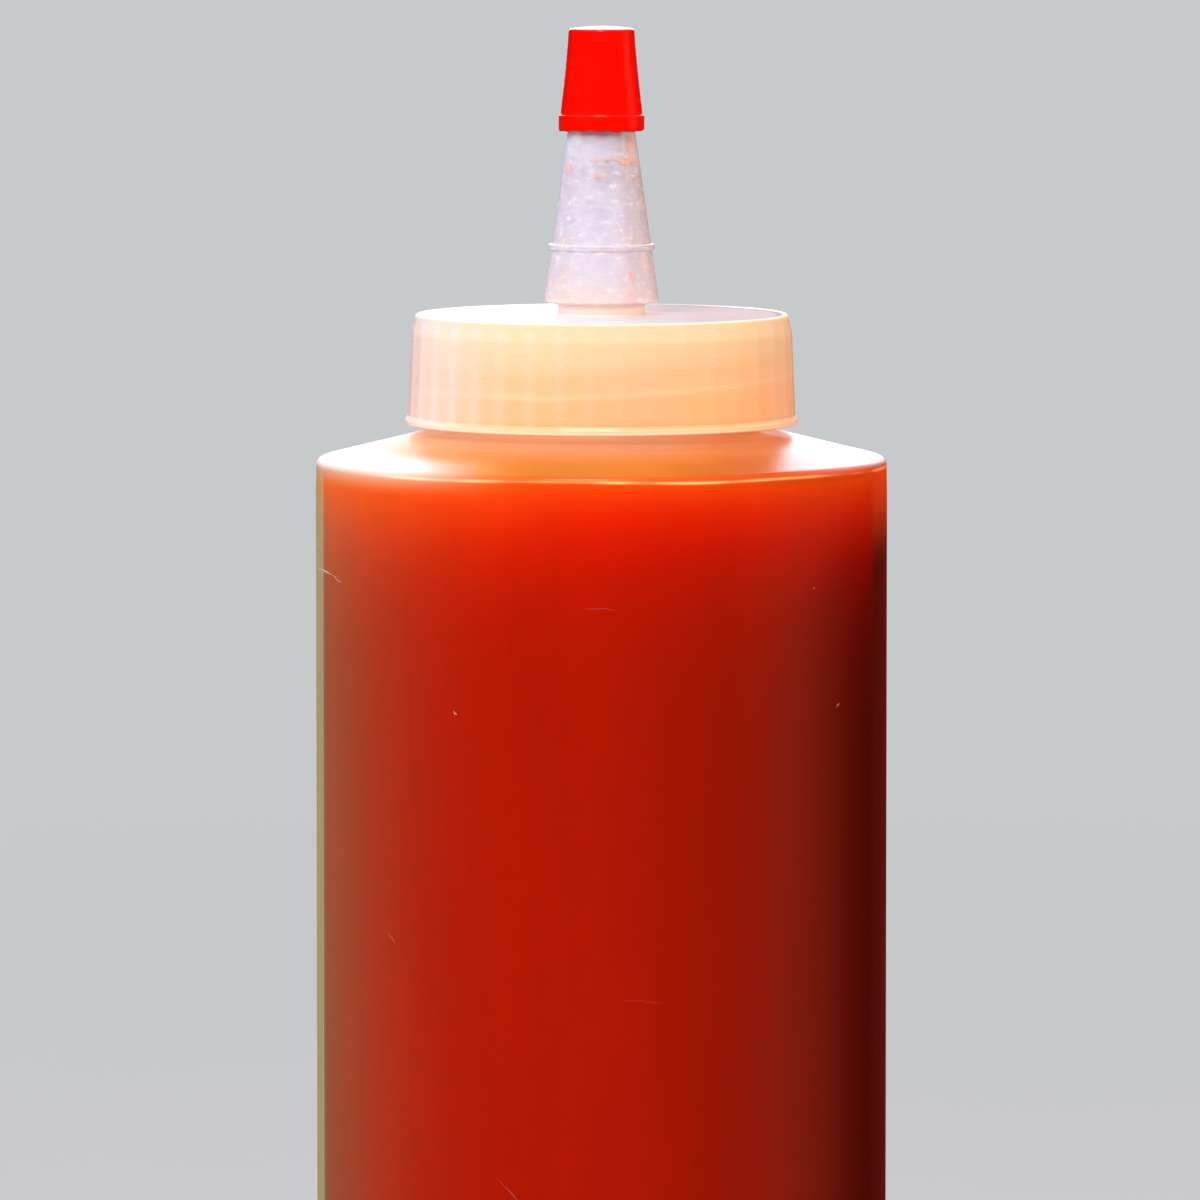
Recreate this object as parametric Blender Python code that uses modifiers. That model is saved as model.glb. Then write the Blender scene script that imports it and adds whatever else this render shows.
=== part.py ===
"""Barbecue sauce squeeze bottle: a cylinder bottle of natural polyethylene, full of sauce, closed by a
ribbed screw cap whose long conical spout wears a red push-on tip.

Everything is in metres, +Z up, with the origin at the middle of the ring the bottle stands on.
"""

import math

import bmesh
import bpy
from mathutils import Matrix

MM = 0.001
GAP = 0.3 * MM

# Bottle body
BODY_RADIUS = 29.85 * MM
BODY_WALL = 0.8 * MM
SHOULDER_HEIGHT = 145.5 * MM
SHOULDER_RISE_PER_RADIUS = 0.248
SHOULDER_FILLET = 0.85 * MM
BASE_FILLET = 3.0 * MM
STANDING_RING_INNER = 23.6 * MM
STANDING_RING_STEP = 1.0 * MM
PUSH_UP_HEIGHT = 3.4 * MM
PUSH_UP_FILLET = 1.0 * MM

# Bottle neck and its thread
NECK_RADIUS = 17.45 * MM
NECK_WALL = 1.4 * MM
NECK_TOP = 158.9 * MM
NECK_ROOT_FILLET = 0.9 * MM
RIM_FILLET = 0.45 * MM
THREAD_PITCH = 6.3 * MM
THREAD_BEAD_RADIUS = 1.15 * MM
THREAD_LOW = 151.0 * MM
THREAD_HIGH = 157.2 * MM
THREAD_FRONT_LEFT_ANGLE = math.radians(-160.0)
THREAD_FRONT_LEFT_HEIGHT = 153.4 * MM
THREAD_RUN_OUT_POINTS = 2
THREAD_RUN_OUT_SINK = 0.5
THREAD_POINTS = 34

# Sauce
SAUCE_LEVEL = 155.0 * MM

# Screw cap
CAP_TOP = 160.5 * MM
CAP_HEIGHT = 11.4 * MM
CAP_DISC_THICKNESS = 1.2 * MM
CAP_DISC_RADIUS = 19.45 * MM
CAP_SHOULDER_RADIUS = 19.85 * MM
CAP_SHOULDER_DROP = 1.9 * MM
CAP_SKIRT_RADIUS = 20.25 * MM
CAP_CORNER_FILLET = 0.4 * MM
CAP_INNER_RADIUS = 18.95 * MM
CAP_INNER_FILLET = 0.4 * MM
CAP_DISC_RIM_WIDTH = 0.5 * MM
CAP_DISC_RIM_HEIGHT = 0.12 * MM
LIP_RADIUS = 20.5 * MM
LIP_HEIGHT = 0.95 * MM
LIP_FILLET = 0.2 * MM
RIB_COUNT = 38
FIRST_RIB_ANGLE = math.radians(-93.0)
RIB_RADIUS = 0.5 * MM
RIB_PROUD = 0.16 * MM
RIB_TOP_DROP = 0.95 * MM

# Spout, with heights counted from the top of the cap's disc
SPOUT_NECK_RADIUS = 4.5 * MM
SPOUT_NECK_FILLET = 0.25 * MM
SPOUT_FOOT_HEIGHT = 1.4 * MM
SPOUT_FOOT_RADIUS = 6.0 * MM
SPOUT_FOOT_FILLET = 0.2 * MM
SPOUT_UNDERCUT_RISE = 0.35 * MM
SPOUT_TAPER = 0.1405
SPOUT_WALL = 0.9 * MM
SPOUT_LENGTH = 27.6 * MM
SPOUT_END_FILLET = 0.3 * MM
SPOUT_END_WALL = 0.9 * MM
SPOUT_END_CONE = 0.9 * MM
SPOUT_HOLE_RADIUS = 0.9 * MM
BORE_RADIUS = 3.7 * MM
RING_HEIGHT = 7.1 * MM
RING_THICKNESS = 0.6 * MM
RING_PROUD = 0.36 * MM
RING_FILLET = 0.15 * MM

# Tip, with heights counted from the top of the cap's disc
TIP_BOTTOM = 19.15 * MM
TIP_TOP = 30.1 * MM
TIP_TOP_RADIUS = 3.42 * MM
TIP_LOW_RADIUS = 4.28 * MM
TIP_FLARE_POWER = 1.25
TIP_FLARE_PIECES = 6
TIP_TOP_FILLET = 0.4 * MM
TIP_DOME = 0.3 * MM
TIP_FLANGE_RADIUS = 4.47 * MM
TIP_FLANGE_HEIGHT = 1.75 * MM
TIP_FLANGE_BEVEL = 0.1 * MM
TIP_FLANGE_FILLET = 0.15 * MM
TIP_TOP_WALL = 1.0 * MM
TIP_INNER_FILLET = 0.2 * MM

# Facets
BODY_STEPS = 48
CAP_STEPS = RIB_COUNT
RIB_SIDES = 6
THREAD_BEVEL_RESOLUTION = 1
TIP_STEPS = 30
SMALL_FILLET = 0.5 * MM
SMALL_FILLET_PIECES = 1
FILLET_PIECES = 3
WELD = 0.00001
SHARP_ANGLE = math.radians(35.0)

COLLECTION = "sauce_squeeze_bottle"
HELPERS = "sauce_squeeze_bottle_helpers"


def clear_scene():
    for item in list(bpy.data.objects):
        bpy.data.objects.remove(item, do_unlink=True)


def collection(name):
    group = bpy.data.collections.new(name)
    bpy.context.scene.collection.children.link(group)
    return group


def plastic(name, colour, roughness, transmission=0.0):
    material = bpy.data.materials.new(name)
    material.use_nodes = True
    shader = material.node_tree.nodes["Principled BSDF"]
    shader.inputs["Base Color"].default_value = (*colour, 1.0)
    shader.inputs["Roughness"].default_value = roughness
    shader.inputs["Metallic"].default_value = 0.0
    shader.inputs["Transmission Weight"].default_value = transmission
    return material


def rounded(corners):
    """A polyline through (radius, height, fillet) corners, each corner replaced by its tangent arc."""
    points = []
    last = len(corners) - 1
    for index, (radius, height, fillet) in enumerate(corners):
        if fillet == 0.0 or index in (0, last):
            points.append((radius, height))
            continue
        before = corners[index - 1]
        after = corners[index + 1]
        angle_in = math.atan2(before[1] - height, before[0] - radius)
        angle_out = math.atan2(after[1] - height, after[0] - radius)
        half = (angle_out - angle_in) / 2.0
        half = (half + math.pi / 2.0) % math.pi - math.pi / 2.0
        middle = angle_in + half
        if math.cos(half) < 0.0:
            middle += math.pi
        reach = fillet / abs(math.sin(half))
        centre = (radius + reach * math.cos(middle), height + reach * math.sin(middle))
        tangent = fillet / abs(math.tan(half))
        start = (radius + tangent * math.cos(angle_in), height + tangent * math.sin(angle_in))
        end = (radius + tangent * math.cos(angle_out), height + tangent * math.sin(angle_out))
        first = math.atan2(start[1] - centre[1], start[0] - centre[0])
        sweep = math.atan2(end[1] - centre[1], end[0] - centre[0]) - first
        sweep = (sweep + math.pi) % (2.0 * math.pi) - math.pi
        pieces = SMALL_FILLET_PIECES if fillet < SMALL_FILLET else FILLET_PIECES
        for step in range(pieces + 1):
            turn = first + sweep * step / pieces
            points.append((centre[0] + fillet * math.cos(turn), centre[1] + fillet * math.sin(turn)))
    return points


def turned(name, outline, steps, material, group, closed=False):
    """Turn an outline of (radius, height) points around the Z axis."""
    mesh = bpy.data.meshes.new(name)
    edges = [(index, index + 1) for index in range(len(outline) - 1)]
    if closed:
        edges.append((len(outline) - 1, 0))
    mesh.from_pydata([(radius, 0.0, height) for radius, height in outline], edges, [])
    item = bpy.data.objects.new(name, mesh)
    item.data.materials.append(material)
    group.objects.link(item)
    screw = item.modifiers.new("turn", "SCREW")
    screw.axis = "Z"
    screw.steps = steps
    screw.render_steps = steps
    screw.use_merge_vertices = True
    screw.merge_threshold = WELD
    screw.use_smooth_shade = True
    return item


def join_with(item, helper):
    """Unite a helper body with an item; the helper itself isn't part of the model."""
    helper.hide_render = True
    helper.display_type = "WIRE"
    union = item.modifiers.new("unite_" + helper.name, "BOOLEAN")
    union.operation = "UNION"
    union.solver = "EXACT"
    union.object = helper


def skin(wall, neck_wall, top, top_fillet):
    """Corners of the bottle's surface set in by its wall, from the neck's top down to the axis."""
    slope = math.atan(SHOULDER_RISE_PER_RADIUS)
    neck = NECK_RADIUS - neck_wall
    side = BODY_RADIUS - wall
    lift = SHOULDER_HEIGHT - wall / math.cos(slope)
    root = lift + (BODY_RADIUS - neck) * SHOULDER_RISE_PER_RADIUS
    edge = lift + wall * SHOULDER_RISE_PER_RADIUS
    return [
        (neck, top, top_fillet),
        (neck, root, NECK_ROOT_FILLET),
        (side, edge, max(SHOULDER_FILLET - wall, 0.0)),
        (side, wall, BASE_FILLET - wall),
        (STANDING_RING_INNER - wall, wall, 0.0),
        (STANDING_RING_INNER - STANDING_RING_STEP - wall, STANDING_RING_STEP + wall, PUSH_UP_FILLET),
        (0.0, PUSH_UP_HEIGHT + wall, 0.0),
    ]


def thread_bead(material, group):
    """One round bead wound up the neck, thinning to nothing where it starts and ends."""
    curve = bpy.data.curves.new("thread_path", "CURVE")
    curve.dimensions = "3D"
    curve.bevel_depth = THREAD_BEAD_RADIUS
    curve.bevel_resolution = THREAD_BEVEL_RESOLUTION
    curve.use_fill_caps = True
    path = curve.splines.new("POLY")
    path.points.add(THREAD_POINTS - 1)
    for index, point in enumerate(path.points):
        height = THREAD_LOW + (THREAD_HIGH - THREAD_LOW) * index / (THREAD_POINTS - 1)
        turns = (height - THREAD_FRONT_LEFT_HEIGHT) / THREAD_PITCH
        angle = THREAD_FRONT_LEFT_ANGLE + 2.0 * math.pi * turns
        from_end = min(index, THREAD_POINTS - 1 - index)
        point.radius = min(1.0, (from_end + 1.0) / (THREAD_RUN_OUT_POINTS + 1.0))
        sunk = THREAD_BEAD_RADIUS * (1.0 - point.radius) * THREAD_RUN_OUT_SINK
        reach = NECK_RADIUS - sunk
        point.co = (reach * math.cos(angle), reach * math.sin(angle), height, 1.0)
    tube = bpy.data.objects.new("thread_path", curve)
    group.objects.link(tube)
    graph = bpy.context.evaluated_depsgraph_get()
    mesh = bpy.data.meshes.new_from_object(tube.evaluated_get(graph))
    bpy.data.objects.remove(tube, do_unlink=True)
    shell = bmesh.new()
    shell.from_mesh(mesh)
    bmesh.ops.remove_doubles(shell, verts=shell.verts, dist=WELD)
    bmesh.ops.recalc_face_normals(shell, faces=shell.faces)
    shell.to_mesh(mesh)
    shell.free()
    mesh.materials.clear()
    mesh.materials.append(material)
    bead = bpy.data.objects.new("neck_thread", mesh)
    group.objects.link(bead)
    return bead


def build_bottle(material, group, helpers):
    inside = skin(BODY_WALL, NECK_WALL, NECK_TOP, 0.0)
    outside = skin(0.0, 0.0, NECK_TOP, RIM_FILLET)
    bottle = turned("bottle", rounded(inside[::-1] + outside), BODY_STEPS, material, group)
    join_with(bottle, thread_bead(material, helpers))
    return bottle


def build_sauce(material, group):
    corners = skin(BODY_WALL + GAP, NECK_WALL + GAP, SAUCE_LEVEL, 0.0)
    return turned("sauce", rounded([(0.0, SAUCE_LEVEL, 0.0)] + corners), BODY_STEPS, material, group)


def spout_radius(height):
    """The spout's outer radius at a height above the cap's disc."""
    return SPOUT_FOOT_RADIUS - SPOUT_TAPER * (height - SPOUT_FOOT_HEIGHT)


def spout_corners():
    """The spout from its tip down its outer side to the disc."""
    ring_low = RING_HEIGHT - RING_THICKNESS / 2.0
    ring_high = RING_HEIGHT + RING_THICKNESS / 2.0
    heights = [
        (SPOUT_LENGTH, spout_radius(SPOUT_LENGTH), SPOUT_END_FILLET),
        (ring_high, spout_radius(ring_high), 0.0),
        (ring_high, spout_radius(RING_HEIGHT) + RING_PROUD, RING_FILLET),
        (ring_low, spout_radius(RING_HEIGHT) + RING_PROUD, RING_FILLET),
        (ring_low, spout_radius(ring_low), 0.0),
        (SPOUT_FOOT_HEIGHT, SPOUT_FOOT_RADIUS, SPOUT_FOOT_FILLET),
        (SPOUT_FOOT_HEIGHT - SPOUT_UNDERCUT_RISE, SPOUT_NECK_RADIUS, 0.0),
        (0.0, SPOUT_NECK_RADIUS, SPOUT_NECK_FILLET),
    ]
    return [(radius, CAP_TOP + height, fillet) for height, radius, fillet in heights]


def cap_corners():
    """The cap from its disc's raised edge down the skirt and back up inside to the spout's bore."""
    bottom = CAP_TOP - CAP_HEIGHT
    ceiling = CAP_TOP - CAP_DISC_THICKNESS
    bore_high = spout_radius(SPOUT_LENGTH) - SPOUT_WALL
    return [
        (CAP_DISC_RADIUS - CAP_DISC_RIM_WIDTH, CAP_TOP, 0.0),
        (CAP_DISC_RADIUS - CAP_DISC_RIM_WIDTH / 2.0, CAP_TOP + CAP_DISC_RIM_HEIGHT, 0.0),
        (CAP_DISC_RADIUS, CAP_TOP, CAP_CORNER_FILLET),
        (CAP_SHOULDER_RADIUS, CAP_TOP - CAP_SHOULDER_DROP, 0.0),
        (CAP_SKIRT_RADIUS, bottom + LIP_HEIGHT, 0.0),
        (LIP_RADIUS, bottom + LIP_HEIGHT / 2.0, 0.0),
        (LIP_RADIUS, bottom, LIP_FILLET),
        (CAP_INNER_RADIUS, bottom, LIP_FILLET),
        (CAP_INNER_RADIUS, ceiling, CAP_INNER_FILLET),
        (BORE_RADIUS, ceiling, 0.0),
        (BORE_RADIUS, CAP_TOP + SPOUT_FOOT_HEIGHT, 0.0),
        (bore_high, CAP_TOP + SPOUT_LENGTH - SPOUT_END_WALL - SPOUT_END_CONE, 0.0),
        (SPOUT_HOLE_RADIUS, CAP_TOP + SPOUT_LENGTH - SPOUT_END_WALL, 0.0),
        (SPOUT_HOLE_RADIUS, CAP_TOP + SPOUT_LENGTH, 0.0),
    ]


def skirt_ribs(material, group):
    """Upright round bars sunk into the skirt so that only a shallow rib stands out of it."""
    bottom = CAP_TOP - CAP_HEIGHT + LIP_HEIGHT / 2.0
    top = CAP_TOP - RIB_TOP_DROP
    run = CAP_TOP - CAP_SHOULDER_DROP - (CAP_TOP - CAP_HEIGHT + LIP_HEIGHT)
    lean = math.atan((CAP_SKIRT_RADIUS - CAP_SHOULDER_RADIUS) / run)
    length = (top - bottom) / math.cos(lean)
    reach = (CAP_SKIRT_RADIUS + CAP_SHOULDER_RADIUS) / 2.0 + RIB_PROUD - RIB_RADIUS
    stand = Matrix.Translation((reach, 0.0, (top + bottom) / 2.0)) @ Matrix.Rotation(-lean, 4, "Y")
    ribs = bmesh.new()
    for index in range(RIB_COUNT):
        turn = Matrix.Rotation(FIRST_RIB_ANGLE + 2.0 * math.pi * index / RIB_COUNT, 4, "Z")
        bmesh.ops.create_cone(ribs, cap_ends=True, segments=RIB_SIDES, radius1=RIB_RADIUS,
                              radius2=RIB_RADIUS, depth=length, matrix=turn @ stand)
    mesh = bpy.data.meshes.new("skirt_ribs")
    ribs.to_mesh(mesh)
    ribs.free()
    mesh.materials.append(material)
    item = bpy.data.objects.new("skirt_ribs", mesh)
    group.objects.link(item)
    return item


def build_cap(material, group, helpers):
    corners = spout_corners() + cap_corners()
    cap = turned("spout_cap", rounded(corners), CAP_STEPS, material, group, closed=True)
    join_with(cap, skirt_ribs(material, helpers))
    return cap


def build_tip(material, group):
    flange_top = TIP_BOTTOM + TIP_FLANGE_HEIGHT
    flare = []
    for step in range(TIP_FLARE_PIECES + 1):
        share = step / TIP_FLARE_PIECES
        radius = TIP_TOP_RADIUS + (TIP_LOW_RADIUS - TIP_TOP_RADIUS) * share ** TIP_FLARE_POWER
        height = TIP_TOP - TIP_DOME - (TIP_TOP - TIP_DOME - flange_top) * share
        flare.append((radius, height, TIP_TOP_FILLET if step == 0 else 0.0))
    mouth = spout_radius(TIP_BOTTOM) + GAP
    ceiling = TIP_TOP - TIP_TOP_WALL
    dome = (0.5 * TIP_TOP_RADIUS, TIP_TOP - 0.25 * TIP_DOME, 0.0)
    corners = [(0.0, TIP_TOP, 0.0), dome] + flare + [
        (TIP_FLANGE_RADIUS, flange_top - TIP_FLANGE_BEVEL, 0.0),
        (TIP_FLANGE_RADIUS, TIP_BOTTOM, TIP_FLANGE_FILLET),
        (mouth, TIP_BOTTOM, 0.0),
        (spout_radius(SPOUT_LENGTH) + GAP, ceiling, TIP_INNER_FILLET),
        (0.0, ceiling, 0.0),
    ]
    raised = [(radius, CAP_TOP + height, fillet) for radius, height, fillet in corners]
    return turned("tip_cap", rounded(raised), TIP_STEPS, material, group)


def main():
    clear_scene()
    parts = collection(COLLECTION)
    helpers = collection(HELPERS)
    natural = plastic("natural_polyethylene", (0.86, 0.80, 0.77), 0.3, 0.4)
    cap_natural = plastic("cap_polyethylene", (0.93, 0.80, 0.70), 0.35)
    red = plastic("red_polyethylene", (0.85, 0.02, 0.01), 0.35)
    sauce_red = plastic("barbecue_sauce", (0.42, 0.03, 0.003), 0.25)
    shapes = [
        build_bottle(natural, parts, helpers),
        build_cap(cap_natural, parts, helpers),
        build_tip(red, parts),
        build_sauce(sauce_red, parts),
    ]
    for item in shapes:
        item.data.shade_smooth()
        item.data.set_sharp_from_angle(angle=SHARP_ANGLE)


main()
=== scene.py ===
"""Barbecue sauce squeeze bottle: the looks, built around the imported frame.

A cylinder bottle of milky polyethylene full of orange-red sauce, a ribbed screw cap with a conical spout
and a red push-on tip. Everything is in metres, +Z up, and the front faces -Y.
"""

import math

import bpy
import numpy as np
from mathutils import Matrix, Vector


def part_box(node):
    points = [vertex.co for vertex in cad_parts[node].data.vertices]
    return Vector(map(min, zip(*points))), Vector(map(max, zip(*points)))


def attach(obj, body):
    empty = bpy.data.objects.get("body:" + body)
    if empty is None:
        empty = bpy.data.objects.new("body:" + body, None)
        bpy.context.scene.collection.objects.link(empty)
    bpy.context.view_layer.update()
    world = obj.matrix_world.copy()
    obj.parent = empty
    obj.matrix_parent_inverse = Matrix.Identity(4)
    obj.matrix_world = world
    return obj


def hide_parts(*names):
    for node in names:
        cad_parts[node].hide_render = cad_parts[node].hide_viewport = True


bl_info = {
    "name": "Sauce Squeeze Bottle",
    "version": (1, 0, 0),
    "blender": (4, 5, 0),
    "location": "View3D > Sidebar > Sauce Bottle",
    "description": "Builds a filled sauce squeeze bottle with its spout cap, tip and studio",
    "category": "Add Mesh",
}

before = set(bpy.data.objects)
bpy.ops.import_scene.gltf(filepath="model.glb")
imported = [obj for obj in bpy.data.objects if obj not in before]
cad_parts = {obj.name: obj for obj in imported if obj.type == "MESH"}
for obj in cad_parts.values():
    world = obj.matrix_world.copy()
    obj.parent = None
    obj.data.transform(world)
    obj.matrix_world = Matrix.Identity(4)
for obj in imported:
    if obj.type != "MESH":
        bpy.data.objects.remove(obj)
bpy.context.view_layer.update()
BODY = "root"
BOTTLE_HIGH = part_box("bottle")[1]
CAP_LOW, CAP_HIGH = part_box("spout_cap")
TIP_LOW, TIP_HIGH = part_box("tip_cap")
SAUCE_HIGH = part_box("sauce")[1]

MM = 0.001
FULL_TURN = 2.0 * math.pi
WHITE = (1.0, 1.0, 1.0)
DISC_TOP = 160.5 * MM
ARC_TURN = math.radians(12.0)  # the most that an outline turns in one step of a fillet
RIB_COLUMNS = 9  # columns of the cap's grid for each rib
STRAIGHT_ROWS = 6  # thinned straight runs keep one row in so many
TOUCHING = 1e-5 * MM  # a row of points that spans less than this is one point
DROPLET_SEED = 38
DROPLET_LOW, DROPLET_SPAN = 2.4 * MM, 14.5 * MM  # heights above the disc
DROPLET_SIZE, DROPLET_SPREAD = 0.10 * MM, 0.24 * MM  # smallest radius, and how much larger the largest are
AIM_HEIGHT = 120.0 * MM  # where the lamps look
FLOOR_HALF = 12.0
FLOOR_HEIGHT = -0.2 * MM


def length(name, description, default):
    return bpy.props.FloatProperty(
        name=name, description=description, default=default, unit="LENGTH", precision=5)


def number(name, description, default):
    return bpy.props.FloatProperty(name=name, description=description, default=default, precision=4)


def angle(name, description, degrees):
    return bpy.props.FloatProperty(
        name=name, description=description, default=math.radians(degrees), subtype="ANGLE")


def whole(name, description, default):
    return bpy.props.IntProperty(name=name, description=description, default=default)


def colour(name, description, default):
    return bpy.props.FloatVectorProperty(
        name=name, description=description, default=default, size=3, subtype="COLOR", min=0.0, max=1.0)


class BottleSizes(bpy.types.PropertyGroup):
    """The blown bottle and the sauce in it."""
    radius: length("Radius", "Outer radius of the body at its parting line", BOTTLE_HIGH.x)
    body_radius: length("Body radius", "Outer radius of the body beside it", BOTTLE_HIGH.x - 0.06 * MM)
    wall: length("Wall", "Wall of the body", 0.8 * MM)
    shoulder_height: length("Shoulder height", "Where the shoulder and the wall would meet", 145.5 * MM)
    shoulder_rise: number("Shoulder rise", "Height gained for each unit of radius", 0.248)
    shoulder_fillet: length("Shoulder fillet", "Rounding of the shoulder's edge", 0.85 * MM)
    edge_drop: length("Edge line drop", "Distance of the hairline of light under the shoulder height", 0.52 * MM)
    edge_width: length("Edge line width", "How far from its middle the hairline of light fades", 0.16 * MM)
    neck_radius: length("Neck radius", "Outer radius of the neck", 17.45 * MM)
    neck_wall: length("Neck wall", "Wall of the neck", 1.4 * MM)
    neck_top: length("Neck top", "Height of the rim", BOTTLE_HIGH.z)
    neck_fillet: length("Neck root fillet", "Rounding where the neck meets the shoulder", 0.9 * MM)
    base_fillet: length("Base fillet", "Rounding of the bottom edge", 3.0 * MM)
    ring_inner: length("Standing ring", "Inner radius of the ring it stands on", 23.6 * MM)
    push_up: length("Push-up", "Height of the base's middle above the ring", 3.4 * MM)
    pitch: length("Thread pitch", "Rise of the thread in one turn", 6.3 * MM)
    bead: length("Thread bead", "Radius of the round thread", 1.15 * MM)
    thread_low: length("Thread start", "Height where the thread starts", 151.0 * MM)
    thread_high: length("Thread end", "Height where the thread ends", 157.2 * MM)
    thread_angle: angle("Thread angle", "Where the thread passes its known height", -90.0)
    thread_height: length("Thread height", "The thread's height at that angle", 153.2 * MM)
    seam: length("Seam", "How far the mould's parting line stands out", 0.05 * MM)
    seam_width: length("Seam width", "How far from its middle the parting line fades", 0.22 * MM)
    pinch: length("Pinch-off", "How far the pinched seam under the base stands out", 0.45 * MM)
    pinch_width: length("Pinch-off width", "How far from its middle the pinched seam fades", 0.35 * MM)
    pinch_reach: length("Pinch-off reach", "Radius where the pinched seam ends", 21.5 * MM)
    sauce_level: length("Sauce level", "Height of the sauce in the neck", SAUCE_HIGH.z)
    sauce_reach: length("Sauce reach", "How far the sauce reaches into the wall", 0.05 * MM)
    columns: whole("Columns", "Steps around the bottle", 240)


class CapSizes(bpy.types.PropertyGroup):
    """The screw cap with its spout; heights of the spout are counted from the disc."""
    top: length("Disc height", "Top of the cap's disc", DISC_TOP)
    bottom: length("Skirt bottom", "Bottom of the skirt", CAP_LOW.z)
    disc: length("Disc thickness", "Thickness of the disc", 1.2 * MM)
    disc_radius: length("Disc radius", "Radius of the flat disc", 19.45 * MM)
    disc_wave: length("Disc wave", "Height of the sink marks on the disc", 0.02 * MM)
    rim_width: length("Rim width", "Width of the raised edge round the disc", 0.5 * MM)
    rim_height: length("Rim height", "Height of the raised edge", 0.12 * MM)
    shoulder_radius: length("Skirt top radius", "Radius under the rounded edge", 19.85 * MM)
    shoulder_drop: length("Edge drop", "Height of the rounded edge", 1.9 * MM)
    skirt_radius: length("Skirt radius", "Radius at the foot of the skirt", 20.25 * MM)
    inner_radius: length("Inner radius", "Radius inside the skirt", 18.95 * MM)
    lip_radius: length("Lip radius", "Radius of the flared lip", CAP_HIGH.x)
    lip_height: length("Lip height", "Height of the lip", 0.95 * MM)
    ribs: whole("Ribs", "Grip ribs round the skirt", 38)
    rib_angle: angle("First rib", "Angle of the first rib", -93.0)
    rib_proud: length("Rib height", "How far a rib stands out", 0.05 * MM)
    rib_width: length("Rib width", "Half width of a rib at half its height", 0.72 * MM)
    rib_top: length("Rib top", "Distance of the ribs' round tops under the disc", 0.75 * MM)
    neck_radius: length("Undercut radius", "Radius of the spout under its foot", 4.5 * MM)
    foot_height: length("Foot height", "Height of the cone's lower edge", 1.4 * MM)
    foot_radius: length("Foot radius", "Radius of the cone's lower edge", 6.0 * MM)
    undercut: length("Undercut rise", "Height lost to the undercut's slope", 0.35 * MM)
    taper: number("Taper", "Radius lost for each unit of height", 0.1405)
    wall: length("Spout wall", "Wall of the spout", 0.9 * MM)
    spout_end: length("Spout length", "Height of the spout's end", CAP_HIGH.z - DISC_TOP)
    hole: length("Spout hole", "Radius of the hole at the spout's end", 0.9 * MM)
    bore: length("Bore", "Radius of the bore through the disc", 3.7 * MM)
    ring_height: length("Ring height", "Middle of the ring round the spout", 7.1 * MM)
    ring_thickness: length("Ring thickness", "Thickness of that ring", 0.6 * MM)
    ring_proud: length("Ring reach", "How far the ring stands out", 0.36 * MM)
    droplets: whole("Droplets", "Droplets inside the spout", 210)


class TipSizes(bpy.types.PropertyGroup):
    """The red push-on tip."""
    bottom: length("Bottom", "Height of the mouth", TIP_LOW.z)
    top: length("Top", "Height of the closed end", TIP_HIGH.z)
    top_radius: length("Top radius", "Radius at the closed end", 3.42 * MM)
    low_radius: length("Low radius", "Radius above the flange", 4.28 * MM)
    flare: number("Flare power", "How the sides curve out, 1 for straight", 1.25)
    flange_radius: length("Flange radius", "Radius of the flange", TIP_HIGH.x)
    flange_height: length("Flange height", "Height of the flange", 1.75 * MM)
    dome: length("Dome", "How far the closed end bulges up", 0.3 * MM)
    top_wall: length("Top wall", "Thickness of the closed end", 1.0 * MM)
    play: length("Play", "Gap between the tip and the spout", 0.03 * MM)
    wave: length("Mouth wave", "Depth of the uneven edge at the mouth", 0.22 * MM)
    groove: length("Groove", "Depth of the faint rings on the left side", 0.035 * MM)
    groove_width: length("Groove width", "How far from its middle such a ring fades", 0.12 * MM)
    columns: whole("Columns", "Steps around the tip", 160)


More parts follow.
